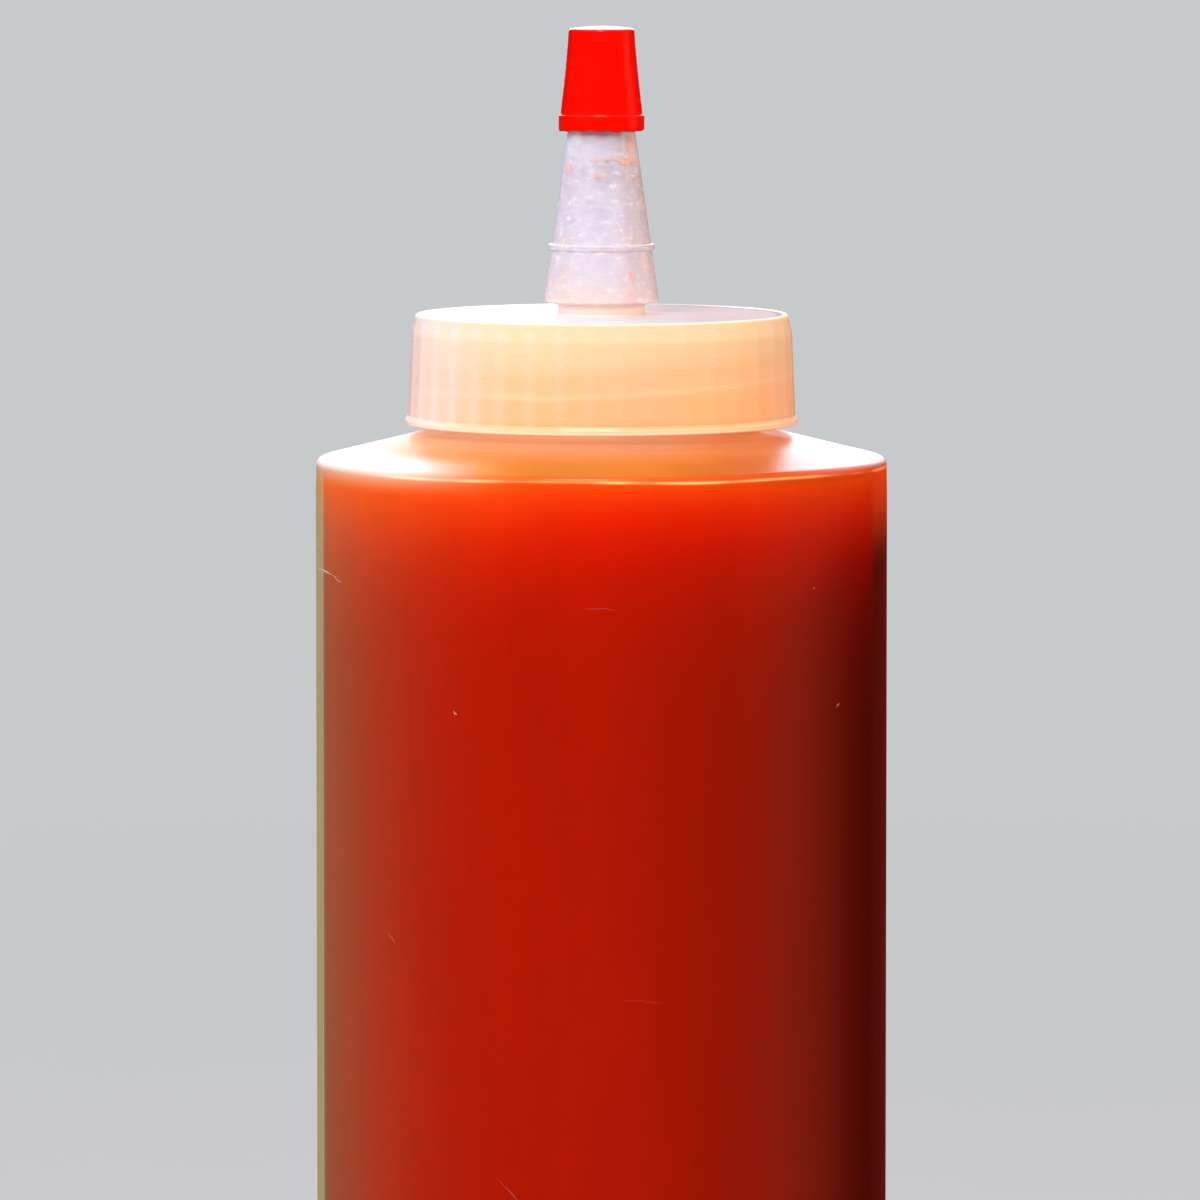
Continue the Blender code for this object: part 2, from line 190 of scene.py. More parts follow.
class Finish(bpy.types.PropertyGroup):
    """Colours and see-through shares."""
    sauce_deep: colour("Sauce", "Sauce down in the bottle", (0.43, 0.0085, 0.0005))
    # Painted light: sauce_top draws the sauce under the shoulder's slope more orange, as lit from above, and
    # sauce_glow is painted glow, drawn as emission.
    sauce_top: colour("Sauce top", "Sauce under the shoulder's slope", (0.42, 0.155, 0.010))
    sauce_glow: colour("Sauce glow", "Light that comes down through the sauce", (0.60, 0.06, 0.003))
    glow_depth: length("Glow depth", "Depth at which the red glow has faded to a third", 7.5 * MM)
    orange_depth: length("Orange depth", "Depth at which the orange glow has faded to a third", 1.75 * MM)
    # Painted glow: edge_line on the lit side and milk_red on the dark side colour the glow drawn in the wall
    # under the shoulder's edge and along its hairline.
    edge_line: colour("Edge line", "Light that the wall gathers in the shoulder's edge", (1.0, 0.47, 0.14))
    milk: colour("Bottle milk", "What the bottle's wall scatters", (0.70, 0.54, 0.25))
    # Painted shade: milk_dark is a shaded copy of milk for the side away from the light.
    milk_dark: colour("Bottle milk, dark side", "The same on the side away from the light", (0.5, 0.02, 0.003))
    milk_red: colour("Bottle glow, dark side", "Light from the sauce in that wall", (0.80, 0.05, 0.004))
    milk_root: colour("Bottle milk, neck", "The same at the neck's root", (0.84, 0.66, 0.47))
    # Painted shade: milk_root_dark is the neck's root on the side away from the light, drawn more orange.
    milk_root_dark: colour("Bottle milk, neck, dark side", "The neck's root on the right", (0.92, 0.52, 0.24))
    # Painted light: milk_warm and milk_pale colour the lit wall at the shoulder's edge, palest on the side of the
    # light.
    milk_warm: colour("Bottle milk, under the edge", "The lit wall under the shoulder's edge", (0.98, 0.62, 0.42))
    milk_pale: colour("Bottle milk, lit edge", "The shoulder's edge on the side of the light", (0.95, 0.84, 0.84))
    milk_edge: number("Bottle edge veil", "Cover of the bottle's wall seen edge on", 0.44)
    milk_power: number("Bottle veil power", "How fast the cover falls away from the edge", 2.1)
    milk_strip: number("Bottle wall strip", "Cover of the wall where no sauce is behind it", 0.75)
    milk_neck: number("Bottle neck veil", "Cover of the thicker wall at the neck's root", 0.5)
    cap_low: colour("Skirt", "Foot of the skirt, over the sauce", (0.95, 0.52, 0.25))
    cap_high: colour("Skirt top", "Top of the skirt and the disc", (0.95, 0.68, 0.42))
    # Painted light: cap_pale is the skirt where light comes in, on the lit side.
    cap_pale: colour("Pale skirt", "Where light comes in through the skirt", (0.97, 0.79, 0.75))
    # Painted shade: cap_disc_dark is a shaded copy of cap_disc for the disc's side away from the light.
    cap_disc: colour("Disc", "The disc, on the side of the light", (0.70, 0.67, 0.70))
    cap_disc_dark: colour("Disc, dark side", "The disc away from the light", (0.48, 0.40, 0.43))
    # Painted reflection: disc_ripple darkens streaky patches that stand in for the dim reflections of the wavy
    # disc.
    disc_ripple: colour("Disc ripple", "Dull patches on the disc", (0.42, 0.38, 0.46))
    disc_groove: colour("Disc groove", "Shade inside the disc's raised edge", (0.30, 0.25, 0.33))
    # Painted highlight: disc_edge is a light line along the disc's raised edge.
    disc_edge: colour("Disc edge", "The disc's raised edge", (0.92, 0.88, 0.92))
    # Painted light: cap_lip is a highlight along the lip, and lip_shade a line of painted shade above it.
    cap_lip: colour("Lip", "Light gathered in the lip", (0.98, 0.80, 0.58))
    lip_shade: colour("Lip shade", "The line above the lip", (0.80, 0.42, 0.18))
    cap_thread: colour("Thread line", "The thread showing through the skirt", (0.98, 0.70, 0.42))
    spout: colour("Spout", "Empty spout", (0.70, 0.67, 0.79))
    spout_foot: colour("Spout foot", "Spout near the disc", (0.86, 0.66, 0.56))
    # Painted shade: spout_shade darkens the spout's side away from the light.
    spout_shade: colour("Spout, dark side", "Spout on the right", (0.60, 0.46, 0.54))
    spout_spots: colour("Spout spots", "Darker mottling of the spout", (0.54, 0.46, 0.58))
    # Painted highlights: spout_shine is bright mottling on the cone that stands in for highlights.
    spout_shine: colour("Spout shine", "Bright mottling of the spout", (1.0, 0.98, 1.0))
    # Painted light: spout_neck lightens the undercut, in the shade of the cone, and spout_top the spout in the
    # shade under the tip.
    spout_neck: colour("Spout undercut", "The spout under its foot", (0.92, 0.72, 0.62))
    spout_top: colour("Spout top", "The spout under the tip", (0.95, 0.88, 1.0))
    # Painted shade: spout_low darkens the cone low down.
    spout_low: colour("Spout, low", "The cone's lowest part", (0.66, 0.60, 0.62))
    # Painted light: neck_ring draws two rings of light in the undercut.
    neck_ring: colour("Undercut rings", "Two rings of light in the undercut", (0.90, 0.42, 0.20))
    cap_cover: number("Cap cover", "Cover of the cap's skirt and disc", 0.9)
    spout_cover: number("Spout cover", "Cover of one wall of the spout", 0.48)
    red: colour("Tip", "The red tip", (0.98, 0.0035, 0.0004))
    smear: colour("Smear", "Thin sauce in the spout", (1.0, 0.38, 0.06))
    smear_thick: colour("Smear, thick", "The same where it is thicker", (0.90, 0.16, 0.02))
    # Painted light: the droplets' white stands in for their highlights, and their grey is painted shade.
    droplet: colour("Droplets", "Most of the droplets", (1.0, 0.97, 1.0))
    droplet_grey: colour("Droplets, grey", "The greyish ones", (0.60, 0.53, 0.62))
    droplet_tinged: colour("Droplets, tinged", "Those with sauce in them", (0.95, 0.50, 0.25))
    scratch: colour("Scratch", "Whitened plastic", (0.85, 0.74, 0.70))
    scratch_white: colour("Scratch, white", "The same where it is whitest", (0.95, 0.92, 0.92))


class Staging(bpy.types.PropertyGroup):
    """Camera, floor and lights."""
    centre_height: length("Picture centre", "Height that the picture's centre shows", 130.6 * MM)
    centre_offset: length("Picture offset", "Sideways shift of the picture's centre", -0.16 * MM)
    frame_width: length("Frame width", "Width that the picture shows at the bottle", 125.5 * MM)
    distance: length("Camera distance", "From the camera to the bottle", 1.2)
    elevation: angle("Camera elevation", "How far the camera looks down", 4.7)
    sensor: number("Sensor", "Width of the sensor in millimetres", 36.0)
    key_power: number("Key light", "Power of the key light in watts", 74.0)
    key_azimuth: angle("Key azimuth", "From the front to the right", -22.0)
    key_elevation: angle("Key elevation", "Above the level", 35.0)
    right_power: number("Right cap light", "Power of the warm light on the cap's right in watts", 17.0)
    left_power: number("Left cap light", "Power of the cool light on the cap's left in watts", 7.5)
    back_power: number("Back light", "Power of the light on the body's back in watts", 24.0)
    spark_power: number("Highlight light", "Power of the light that only makes highlights, in watts", 12.0)
    window_low: number("Window, low", "Brightness behind the bottle just above the horizon", 1.5)
    window_high: number("Window, high", "Brightness behind the bottle higher up", 3.8)
    zenith: number("Overhead light", "Brightness straight above", 1.0)
    room: number("Room light", "Brightness of the rest of the room", 0.03)
    light: colour("Room tint", "Tint of the light from the room", (0.98, 0.98, 1.0))
    mirrored: colour("Mirrored tint", "Tint of the room in glossy surfaces", (0.87, 0.84, 1.0))
    floor: colour("Floor", "Pale floor", (0.50, 0.50, 0.51))
    floor_grain: colour("Floor grain", "Fine unevenness of the floor", (0.4, 0.4, 0.42))
    floor_dim: colour("Floor, unseen", "What the floor gives back to the bottle", (0.02, 0.018, 0.015))
    floor_radius: length("Floor radius", "Where the floor starts to melt into the backdrop", 0.3)
    sky: colour("Backdrop", "What the camera sees beyond the floor", (0.57, 0.59, 0.60))


GROUPS = {
    "squeeze_bottle": BottleSizes,
    "squeeze_cap": CapSizes,
    "squeeze_tip": TipSizes,
    "squeeze_finish": Finish,
    "squeeze_stage": Staging,
}


# Shapes

def arc_path(corners, step):
    """Points along a line through (radius, height, fillet) corners.

    A corner with a fillet becomes its tangent arc: the centre lies on the corner's bisector at
    fillet / sin(half angle), and the arc turns evenly. Straight runs are cut into pieces of about step.
    """
    runs = []
    last = len(corners) - 1
    for index, (radius, height, fillet) in enumerate(corners):
        here = np.array((radius, height))
        if fillet <= 0.0 or index in (0, last):
            runs.append(here[None, :])
            continue
        back = np.array(corners[index - 1][:2]) - here
        ahead = np.array(corners[index + 1][:2]) - here
        back /= np.linalg.norm(back)
        ahead /= np.linalg.norm(ahead)
        half = math.acos(np.clip(back @ ahead, -1.0, 1.0)) / 2.0
        bisector = (back + ahead) / np.linalg.norm(back + ahead)
        centre = here + bisector * fillet / math.sin(half)
        first = here + back * fillet / math.tan(half) - centre
        final = here + ahead * fillet / math.tan(half) - centre
        start = math.atan2(first[1], first[0])
        sweep = math.atan2(first[0] * final[1] - first[1] * final[0], first @ final)
        pieces = max(3, int(math.ceil(abs(sweep) / ARC_TURN)))
        turn = start + sweep * np.linspace(0.0, 1.0, pieces + 1)
        runs.append(centre + fillet * np.stack((np.cos(turn), np.sin(turn)), 1))
    line = [runs[0]]
    for run in runs[1:]:
        gap = np.linalg.norm(run[0] - line[-1][-1])
        count = max(1, int(round(gap / step)))
        share = np.linspace(0.0, 1.0, count + 1)[1:-1, None]
        line.append(line[-1][-1] + (run[0] - line[-1][-1]) * share)
        line.append(run)
    return np.concatenate([part for part in line if len(part)])


def thinned(outline, where):
    """Leave out most rows inside the straight runs of an outline, where asked; no surface changes.

    A row is straight where the steps before and after it point the same way, so that their cross product
    is nought. Two rows stay at each end of a run, so that a fillet's shading doesn't spread along it.
    """
    step = np.diff(outline, axis=0)
    step /= np.linalg.norm(step, axis=1, keepdims=True)
    bend = np.abs(step[:-1, 0] * step[1:, 1] - step[:-1, 1] * step[1:, 0])
    rows = np.flatnonzero(where[1:-1] & (bend < 1e-6)) + 1
    keep = np.ones(len(outline), bool)
    for run in np.split(rows, np.flatnonzero(np.diff(rows) > 1) + 1):
        keep[run[1:-1]] = np.arange(len(run[1:-1])) % STRAIGHT_ROWS == 0
    return outline[keep]


def smooth_step(low, high, value):
    """0 below low, 1 above high, and 3t^2 - 2t^3 between them."""
    share = np.clip((value - low) / (high - low), 0.0, 1.0)
    return share * share * (3.0 - 2.0 * share)


def turn_gap(around, centre):
    """Signed angle from centre to each angle, the short way round."""
    return (around - centre + math.pi) % FULL_TURN - math.pi


def all_round(count):
    """Even angles of one full turn."""
    return np.linspace(0.0, FULL_TURN, count, endpoint=False)


def on_circles(radius, around, height):
    """Points from their radius, angle and height: the cosine and sine of the angle times the radius."""
    return np.stack((radius * np.cos(around), radius * np.sin(around), height), -1)


def grid_faces(rows, columns, loop_rows, loop_columns):
    """Quads of a rows by columns grid, wound so that they face out where rows run down the outer side."""
    row = np.arange(rows if loop_rows else rows - 1)
    column = np.arange(columns if loop_columns else columns - 1)
    i, j = np.meshgrid(row, column, indexing="ij")
    down = (i + 1) % rows
    right = (j + 1) % columns
    corners = (i * columns + j, down * columns + j, down * columns + right, i * columns + right)
    return np.stack(corners, -1).reshape(-1, 4)


def pointed(faces, columns, rows):
    """Quads of a grid of so many columns, with each of the rows closed in its first point."""
    row = faces // columns
    return np.where(np.isin(row, rows), row * columns, faces)


def new_object(name, data):
    """An object at the origin with its data, in the scene."""
    item = bpy.data.objects.new(name, data)
    bpy.context.scene.collection.objects.link(item)
    return item


def add_piece(name, points, faces, material, replaced=(), masks=None):
    """Put arrays of points and quads into a mesh that rides on the bottle; equal corners make triangles.

    masks holds named arrays of one number for each point, which a material may read as attributes.
    """
    used, faces = np.unique(faces, return_inverse=True)
    faces = faces.reshape(-1, 4)
    single = (faces != np.roll(faces, 1, axis=1))
    polygons = [face[keep].tolist() for face, keep in zip(faces, single)] if not single.all() else faces.tolist()
    mesh = bpy.data.meshes.new(name)
    mesh.from_pydata(np.asarray(points)[used].tolist(), [], polygons)
    for key, values in (masks or {}).items():
        mask = mesh.attributes.new(key, "FLOAT", "POINT")
        mask.data.foreach_set("value", np.asarray(values, np.float32)[used])
    mesh.validate()
    mesh.shade_smooth()
    mesh.materials.append(material)
    piece = new_object(name, mesh)
    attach(piece, BODY)
    if replaced:
        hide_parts(*replaced)


def turned(outline, around, shape=None, closed=False):
    """Carry an outline of (radius, height) round the Z axis: a grid of points and its quads.

    shape may change radius and height as a function of radius, height and angle. An end of the outline
    that lies on the axis closes in one point.
    """
    radius = np.repeat(outline[:, :1], len(around), axis=1)
    height = np.repeat(outline[:, 1:], len(around), axis=1)
    angles = np.repeat(around[None, :], len(outline), axis=0)
    if shape is not None:
        radius, height = shape(radius, height, angles)
    faces = grid_faces(len(outline), len(around), closed, True)
    if not closed:
        faces = pointed(faces, len(around), [row for row in (0, len(outline) - 1) if outline[row, 0] == 0.0])
    return on_circles(radius, angles, height).reshape(-1, 3), faces


def on_wall(around, height, wall, swell, outer, inner):
    """A thin patch on a wall: two sheets that stand off the wall's radius by a depth times the swell.

    The swell is nothing at the patch's rim, so the sheets meet there. A row of no height closes in one point.
    """
    rows, columns = swell.shape
    sheets = [on_circles(wall + depth * swell, around, height).reshape(-1, 3) for depth in (outer, inner)]
    ends = [row for row in (0, rows - 1) if np.ptp(height[row]) < TOUCHING]
    faces = pointed(grid_faces(rows, columns, False, False), columns, ends)
    return np.concatenate(sheets), np.concatenate((faces, faces[:, ::-1] + swell.size))


def joined(patches):
    """Patches of (points, quads, mask) as one: their arrays in a row, the quads' numbers moved along."""
    points, faces, mask = zip(*patches)
    shifts = np.cumsum([0, *map(len, points)])
    faces = [quads + shift for quads, shift in zip(faces, shifts)]
    return np.concatenate(points), np.concatenate(faces), np.concatenate(mask)


def scatter(template, faces, places, normals, sizes, lift):
    """Copies of a small template, each scaled, turned to its normal and lifted off its place."""
    up = normals / np.linalg.norm(normals, axis=1, keepdims=True)
    side = np.cross(np.broadcast_to((0.0, 0.0, 1.0), up.shape), up)
    side /= np.linalg.norm(side, axis=1, keepdims=True)
    over = np.cross(up, side)
    axes = np.stack((side * sizes[:, :1], over * sizes[:, 1:2], up * sizes[:, 2:3]), 1)
    points = places[:, None, :] + up[:, None, :] * lift + np.einsum("vk,nkd->nvd", template, axes)
    shifts = np.arange(len(places))[:, None, None] * len(template)
    return points.reshape(-1, 3), (faces[None] + shifts).reshape(-1, 4)


def ball(rings, columns):
    """A closed ball of radius 1 with few faces: sine and cosine of two angles."""
    rise = np.linspace(math.pi / 2.0, -math.pi / 2.0, rings)
    outline = np.stack((np.cos(rise), np.sin(rise)), 1)
    outline[[0, -1], 0] = 0.0
    return turned(outline, all_round(columns))


# Materials

class Value:
    """One output of a node. Sums written with it add the nodes that work them out."""

    def __init__(self, tree, socket):
        self.tree = tree
        self.socket = socket

    def output(self, key):
        """Another output of the same node."""
        return Value(self.tree, self.socket.node.outputs[key])

    def math(self, operation, *others):
        return self.tree.math(operation, self, *others)

    def __add__(self, other):
        return self.math("ADD", other)

    def __sub__(self, other):
        return self.math("SUBTRACT", other)

    def __rsub__(self, other):
        return self.tree.math("SUBTRACT", other, self)

    def __mul__(self, other):
        return self.math("MULTIPLY", other)

    def __truediv__(self, other):
        return self.math("DIVIDE", other)

    def __pow__(self, other):
        return self.math("POWER", other)

    def at_least(self, other):
        return self.math("MAXIMUM", other)

    def exp(self):
        return self.math("EXPONENT")

    def clamped(self):
        """The sum just made, kept between 0 and 1."""
        self.socket.node.use_clamp = True
        return self

    def ramp(self, low, high, out_low=0.0, out_high=1.0):
        """out_low up to low, out_high from high on, and a smooth step between them."""
        return self.tree.add("MapRange", {"Value": self, "From Min": low, "From Max": high, "To Min": out_low,
                                          "To Max": out_high}, interpolation_type="SMOOTHSTEP")

    def bell(self, width):
        """1 where the value is nought, falling as a bell curve of the given width."""
        share = self / width
        return (share * share * -1.0).exp()


class Tree:
    """The nodes of a material, world or group; its noises follow the vector where."""

    def __init__(self, tree, where=None):
        self.tree = tree
        self.where = where

    def join(self, value, socket):
        """Lead a value into a socket, or set the socket to it; colours are opaque."""
        if isinstance(value, Value):
            self.tree.links.new(value.socket, socket)
        else:
            socket.default_value = (*value, 1.0) if socket.type == "RGBA" else value

    def add(self, kind, inputs=None, **settings):
        """Add a node with its settings and inputs, and return its first output, or itself if it has none."""
        made = self.tree.nodes.new(kind if kind.startswith("NodeGroup") else "ShaderNode" + kind)
        for key, value in settings.items():
            setattr(made, key, value)
        for key, value in (inputs or {}).items():
            self.join(value, made.inputs[key])
        return Value(self, made.outputs[0]) if made.outputs else made

    def math(self, operation, *values):
        return self.add("Math", dict(enumerate(values)), operation=operation)

    def axes(self):
        """The vector's x, y and z."""
        made = self.add("SeparateXYZ", {0: self.where})
        return made, made.output(1), made.output(2)

    def noise(self, scale, detail, roughness, stretch=None):
        """Noise of so many waves a metre, drawn out along an axis where stretch is small."""
        where = self.where
        if stretch:
            where = self.add("Mapping", {"Vector": where, "Scale": stretch})
        return self.add("TexNoise", {"Vector": where, "Scale": scale, "Detail": detail, "Roughness": roughness})

    def mix(self, share, first, second, blend="MIX"):
        """The second colour over the first by a share. The node's colours come in at 6 and 7 and out at 2."""
        return self.add("Mix", {0: share, 6: first, 7: second}, data_type="RGBA", blend_type=blend).output(2)

    def coats(self, base, *layers):
        """A base colour under layers of (share, colour), each over those before it."""
        for share, tint in layers:
            base = self.mix(share, base, tint)
        return base

    def toned(self, base, tone):
        """A colour multiplied by a tone near 1."""
        return self.mix(1.0, base, self.add("CombineColor", {0: tone, 1: tone, 2: tone}), "MULTIPLY")

    def facing(self):
        """0 face on and 1 edge on."""
        return self.add("LayerWeight", {"Blend": 0.5}).output("Facing")

    def attribute(self, name):
        """A number that the mesh holds for each point."""
        return self.add("Attribute", attribute_name=name).output("Fac")

    def ray(self, kind):
        """1 for rays of one kind: Camera, Glossy or Shadow."""
        return self.add("LightPath").output(f"Is {kind} Ray")

    def over(self, share, under, upper):
        """The upper shader over the under one by a share."""
        return self.add("MixShader", {0: share, 1: under, 2: upper})

    def film(self, cover, upper):
        """A shader that hides what is behind it by its cover."""
        return self.over(cover, self.add("BsdfTransparent"), upper)

    def glossed(self, share, under, rough, normal, tint=WHITE):
        """A mirroring skin over a shader by a share."""
        mirror = self.add("BsdfGlossy", {"Color": tint, "Roughness": rough, "Normal": normal})
        return self.over(share, under, mirror)

    def plastic(self, base, rough, **more):
        """The plain shader with its colour, roughness and further inputs, _ for a blank in their names."""
        inputs = {key.replace("_", " "): value for key, value in more.items()}
        return self.add("BsdfPrincipled", {"Base Color": base, "Roughness": rough, **inputs})


def new_material(name):
    """An empty material and its tree, on Object coordinates."""
    material = bpy.data.materials.new(name)
    material.use_nodes = True
    material.node_tree.nodes.clear()
    t = Tree(material.node_tree)
    t.where = t.add("TexCoord").output("Object")
    return material, t


def finished(material, t, shader):
    """The material with its shader led to its output."""
    t.add("OutputMaterial", {"Surface": shader})
    return material


def soft_plastic_group():
    """Skin of moulded polyethylene: fine orange peel, faint drag lines and scuffs.

    Tone is a factor near 1 for the colour, Roughness and Height feed the shader and its bump.
    """
    group = bpy.data.node_groups.new("soft_plastic_skin", "ShaderNodeTree")
    group.interface.new_socket("Vector", in_out="INPUT", socket_type="NodeSocketVector")
    for name, value in (("Grain per metre", 1500.0), ("Lines per metre", 400.0), ("Scuffs", 0.3),
                        ("Base roughness", 0.3), ("Tone spread", 0.06)):
        group.interface.new_socket(name, in_out="INPUT", socket_type="NodeSocketFloat").default_value = value
    for name in ("Tone", "Roughness", "Height"):
        group.interface.new_socket(name, in_out="OUTPUT", socket_type="NodeSocketFloat")
    t = Tree(group)
    t.where = t.add("NodeGroupInput")
    spread = t.where.output("Tone spread")
    grain = t.noise(t.where.output("Grain per metre"), 1.0, 0.55)
    cloud = t.noise(60.0, 1.0, 0.6) - 0.5
    lines = t.noise(t.where.output("Lines per metre"), 0.0, 0.6, (1.0, 1.0, 0.04))
    scuff = t.noise(700.0, 1.0, 0.7, (0.12, 0.12, 1.0)).ramp(0.60, 0.74) * t.where.output("Scuffs")
    tone = (lines - 0.5) * (spread * 0.6) + (cloud * spread + 1.0)
    rough = (scuff * 0.35 + (cloud * 0.10 + t.where.output("Base roughness"))).clamped()
    out = t.add("NodeGroupOutput", {"Tone": tone, "Roughness": rough, "Height": lines * 0.5 + grain})
    out.is_active_output = True
    return group


def plastic_skin(t, grain, lines, scuffs, roughness, spread, relief):
    """The shared skin with this piece's values: its tone and roughness, and its bumps as a normal.

    grain and lines count waves a metre, and relief is the strength of the bumps.
    """
    group = bpy.data.node_groups.get("soft_plastic_skin") or soft_plastic_group()
    made = t.add("Group", {"Vector": t.where, "Grain per metre": grain, "Lines per metre": lines,
                           "Scuffs": scuffs, "Base roughness": roughness, "Tone spread": spread},
                 node_tree=group)
    normal = t.add("Bump", {"Height": made.output("Height"), "Distance": 0.02 * MM, "Strength": relief})
    return made, made.output("Roughness"), normal


def gloss_share(facing, face_on, edge_on):
    """Schlick's rule, alike from both sides: the face-on share plus the fifth power of how edge-on it is."""
    return (facing ** 5.0 * edge_on + face_on).clamped()


def lets_lamps_through(t, cover, share):
    """The cover that lamps meet, less than the one the eye sees, as milky plastic passes light on."""
    return cover * (t.ray("Shadow") * -share + 1.0)


def sauce_material(finish, b):
    """Sauce seen through the wall: deep red, with painted light that comes down from the shoulder.

    The painted glow is emission that falls with depth as an exponential. It is red-orange, and reaches deeper and
    is more orange on the side that the light comes from. Under the shoulder's slope the sauce is painted more
    orange, as lit from above. The shoulder's
    edge has painted shade on the dark side: deeper red, with less glow.
    """
    material, t = new_material("barbecue_sauce")
    x, _, height = t.axes()
    r, shoulder = b.radius, b.shoulder_height - 1.0 * MM
    depth = (shoulder - height).at_least(0.0)
    lit = x.ramp(0.1 * r, -0.95 * r)
    through = ((depth / finish.glow_depth) ** 1.4 * -1.0).exp()
    through = through * t.noise(45.0, 1.0, 0.55).ramp(0.2, 0.8, 0.88, 1.10)
    reach = (lit * 1.6 + 1.0) * -finish.orange_depth
    skin = (depth / reach).exp() * (lit * 0.7 + 1.0)
    streaks = t.noise(120.0, 2.0, 0.6, (1.0, 1.0, 0.15))
    pulp = t.noise(500.0, 1.0, 0.6)
    tone = streaks.ramp(0.25, 0.75, 0.95, 1.05) * pulp.ramp(0.3, 0.7, 0.985, 1.015)
    # Painted light: under the shoulder's slope the sauce takes its orange top colour, with less of the painted
    # glow.
    on_top = height.ramp(shoulder + 0.2 * MM, shoulder + 1.2 * MM)
    # Painted shade: on the dark side, at the shoulder's edge, the sauce is drawn deeper red and its painted glow
    # weaker.
    dark = x.ramp(-0.05 * r, 0.8 * r) * height.ramp(shoulder - 0.6 * MM, shoulder + 0.3 * MM)
    base = t.toned(t.mix(on_top, finish.sauce_deep, finish.sauce_top), tone)
    base = t.mix(dark * 0.5, base, finish.sauce_deep)
    shade = tone * (on_top * -0.55 + 1.0) * (dark * -0.3 + 1.0)
    # Painted glow: emission that stands in for the light coming down through the sauce.
    glow = [part * shade * share for part, share in zip((through, skin, skin), finish.sauce_glow)]
    light = t.add("CombineColor", dict(enumerate(glow)))
    shader = t.plastic(base, 0.6, Specular_IOR_Level=0.0, Emission_Color=light, Emission_Strength=1.0)
    return finished(material, t, shader)


def bottle_material(finish, b):
    """Milky film: nearly clear face on and a warm veil edge on, close to opaque where only wall is seen.

    The veil fades out at the shoulder's edge, where the wall has a painted orange glow and a painted hairline of
    light runs round it. It comes back towards the neck, where the wall is thicker. Away from the light it has
    painted shade: dark red.
    """
    material, t = new_material("milky_polyethylene")
    x, _, height = t.axes()
    r, edge = b.radius, b.shoulder_height

    def across(low, high, *out):
        """A ramp to the right, between two shares of the radius."""
        return x.ramp(low * r, high * r, *out)

    def rise(low, high, *out):
        """A ramp up, between two heights in millimetres above the shoulder's edge."""
        return height.ramp(edge + low * MM, edge + high * MM, *out)

    on_slope = rise(-0.35, 0.35)
    left, right, far = across(-0.25, -0.8), across(0.55, 0.93), across(0.1, 0.6)
    tone, rough, normal = plastic_skin(t, grain=700.0, lines=350.0, scuffs=0.2, roughness=0.17, spread=0.10,
                                       relief=0.35)
    rough = on_slope * 0.12 + rough
    facing = t.facing()

    # The wall edge on, where only wall is seen, and the thicker wall at the neck's root.
    veil = facing ** finish.milk_power * finish.milk_edge * rise(-1.0, -3.0).at_least(left)
    strip = facing.ramp(right * -0.09 + 0.74, right * -0.13 + 0.90)
    strip = strip * (right * (1.0 - finish.milk_strip) + finish.milk_strip) * rise(0.3, -0.8)
    root = edge + (r - b.neck_radius) * b.shoulder_rise
    at_neck = height.ramp(edge + 0.4 * MM, root + 0.3 * MM) * across(0.1, 0.6, 1.0, 0.75)

    # The painted hairline of light wanders, sags a little right of the front, breaks up in places, fades towards
    # the far left and is weaker towards the right.
    wander = t.noise(45.0, 0.0, 0.5, (1.0, 1.0, 0.0)) - 0.5
    off_line = wander * (0.5 * MM) + (height - (edge - b.edge_drop))
    off_line = (x - 0.38 * r).bell(0.2 * r) * (0.14 * MM) + off_line
    line_strength = t.noise(130.0, 1.0, 0.6).ramp(0.3, 0.65, 0.35, 1.1) * across(-0.9, -0.6) * across(0.3, 0.9, 1.0, 0.6)
    line = off_line.bell(b.edge_width) * line_strength

    # Painted light: the lit edge on the left, and a bright corner on the right.
    bright = rise(-3.0, 0.1) ** 1.6 * rise(1.6, 0.6) * (left * 0.8)
    bright = (height - (edge + 0.2 * MM)).bell(0.6 * MM) * right * 0.6 + bright
    cover = (veil + strip) * tone + at_neck * finish.milk_neck + bright
    cover = lets_lamps_through(t, (line * 0.8 + cover).clamped(), share=0.85)
    warmed = t.mix(rise(-0.9, 0.2), finish.milk_warm, finish.milk_pale)
    # The tint holds painted light and shade: a shaded copy of the milk on the right, the painted glow's colours
    # under the edge, a more orange neck root on the right, and pale lit parts on the left slope and at the edge.
    tint = t.coats(
        t.mix(right, finish.milk, finish.milk_dark),
        (rise(-7.0, -0.8), t.mix(right, finish.edge_line, finish.milk_red)),
        (at_neck, t.mix(far, finish.milk_root, finish.milk_root_dark)),
        (on_slope * across(-0.62, -0.85, 0.0, 0.85), finish.milk_pale),
        ((bright * 1.5).clamped(), warmed),
    )
    # Painted glow, drawn as emission: on the right under the shoulder's edge, along the hairline and at the
    # neck's root on the right.
    glow = right * (rise(-11.0, -0.5) * rise(-0.2, -0.7, 0.0, 0.75))
    glow = line * 0.75 + (at_neck * far * 0.4 + glow)
    glow_tint = t.mix((right - line).clamped(), finish.edge_line, finish.milk_red)
    milk = t.plastic(tint, rough, Specular_IOR_Level=0.0, Normal=normal, Emission_Color=glow_tint,
                     Emission_Strength=glow)
    pane = across(-0.56, -0.78, 0.19, 0.25) + across(0.55, 0.68, 0.0, 0.6)
    mirror = gloss_share(facing, face_on=0.015, edge_on=on_slope * pane + (right * -0.07 + 0.12))
    return finished(material, t, t.glossed(mirror, t.film(cover, milk), rough, normal))


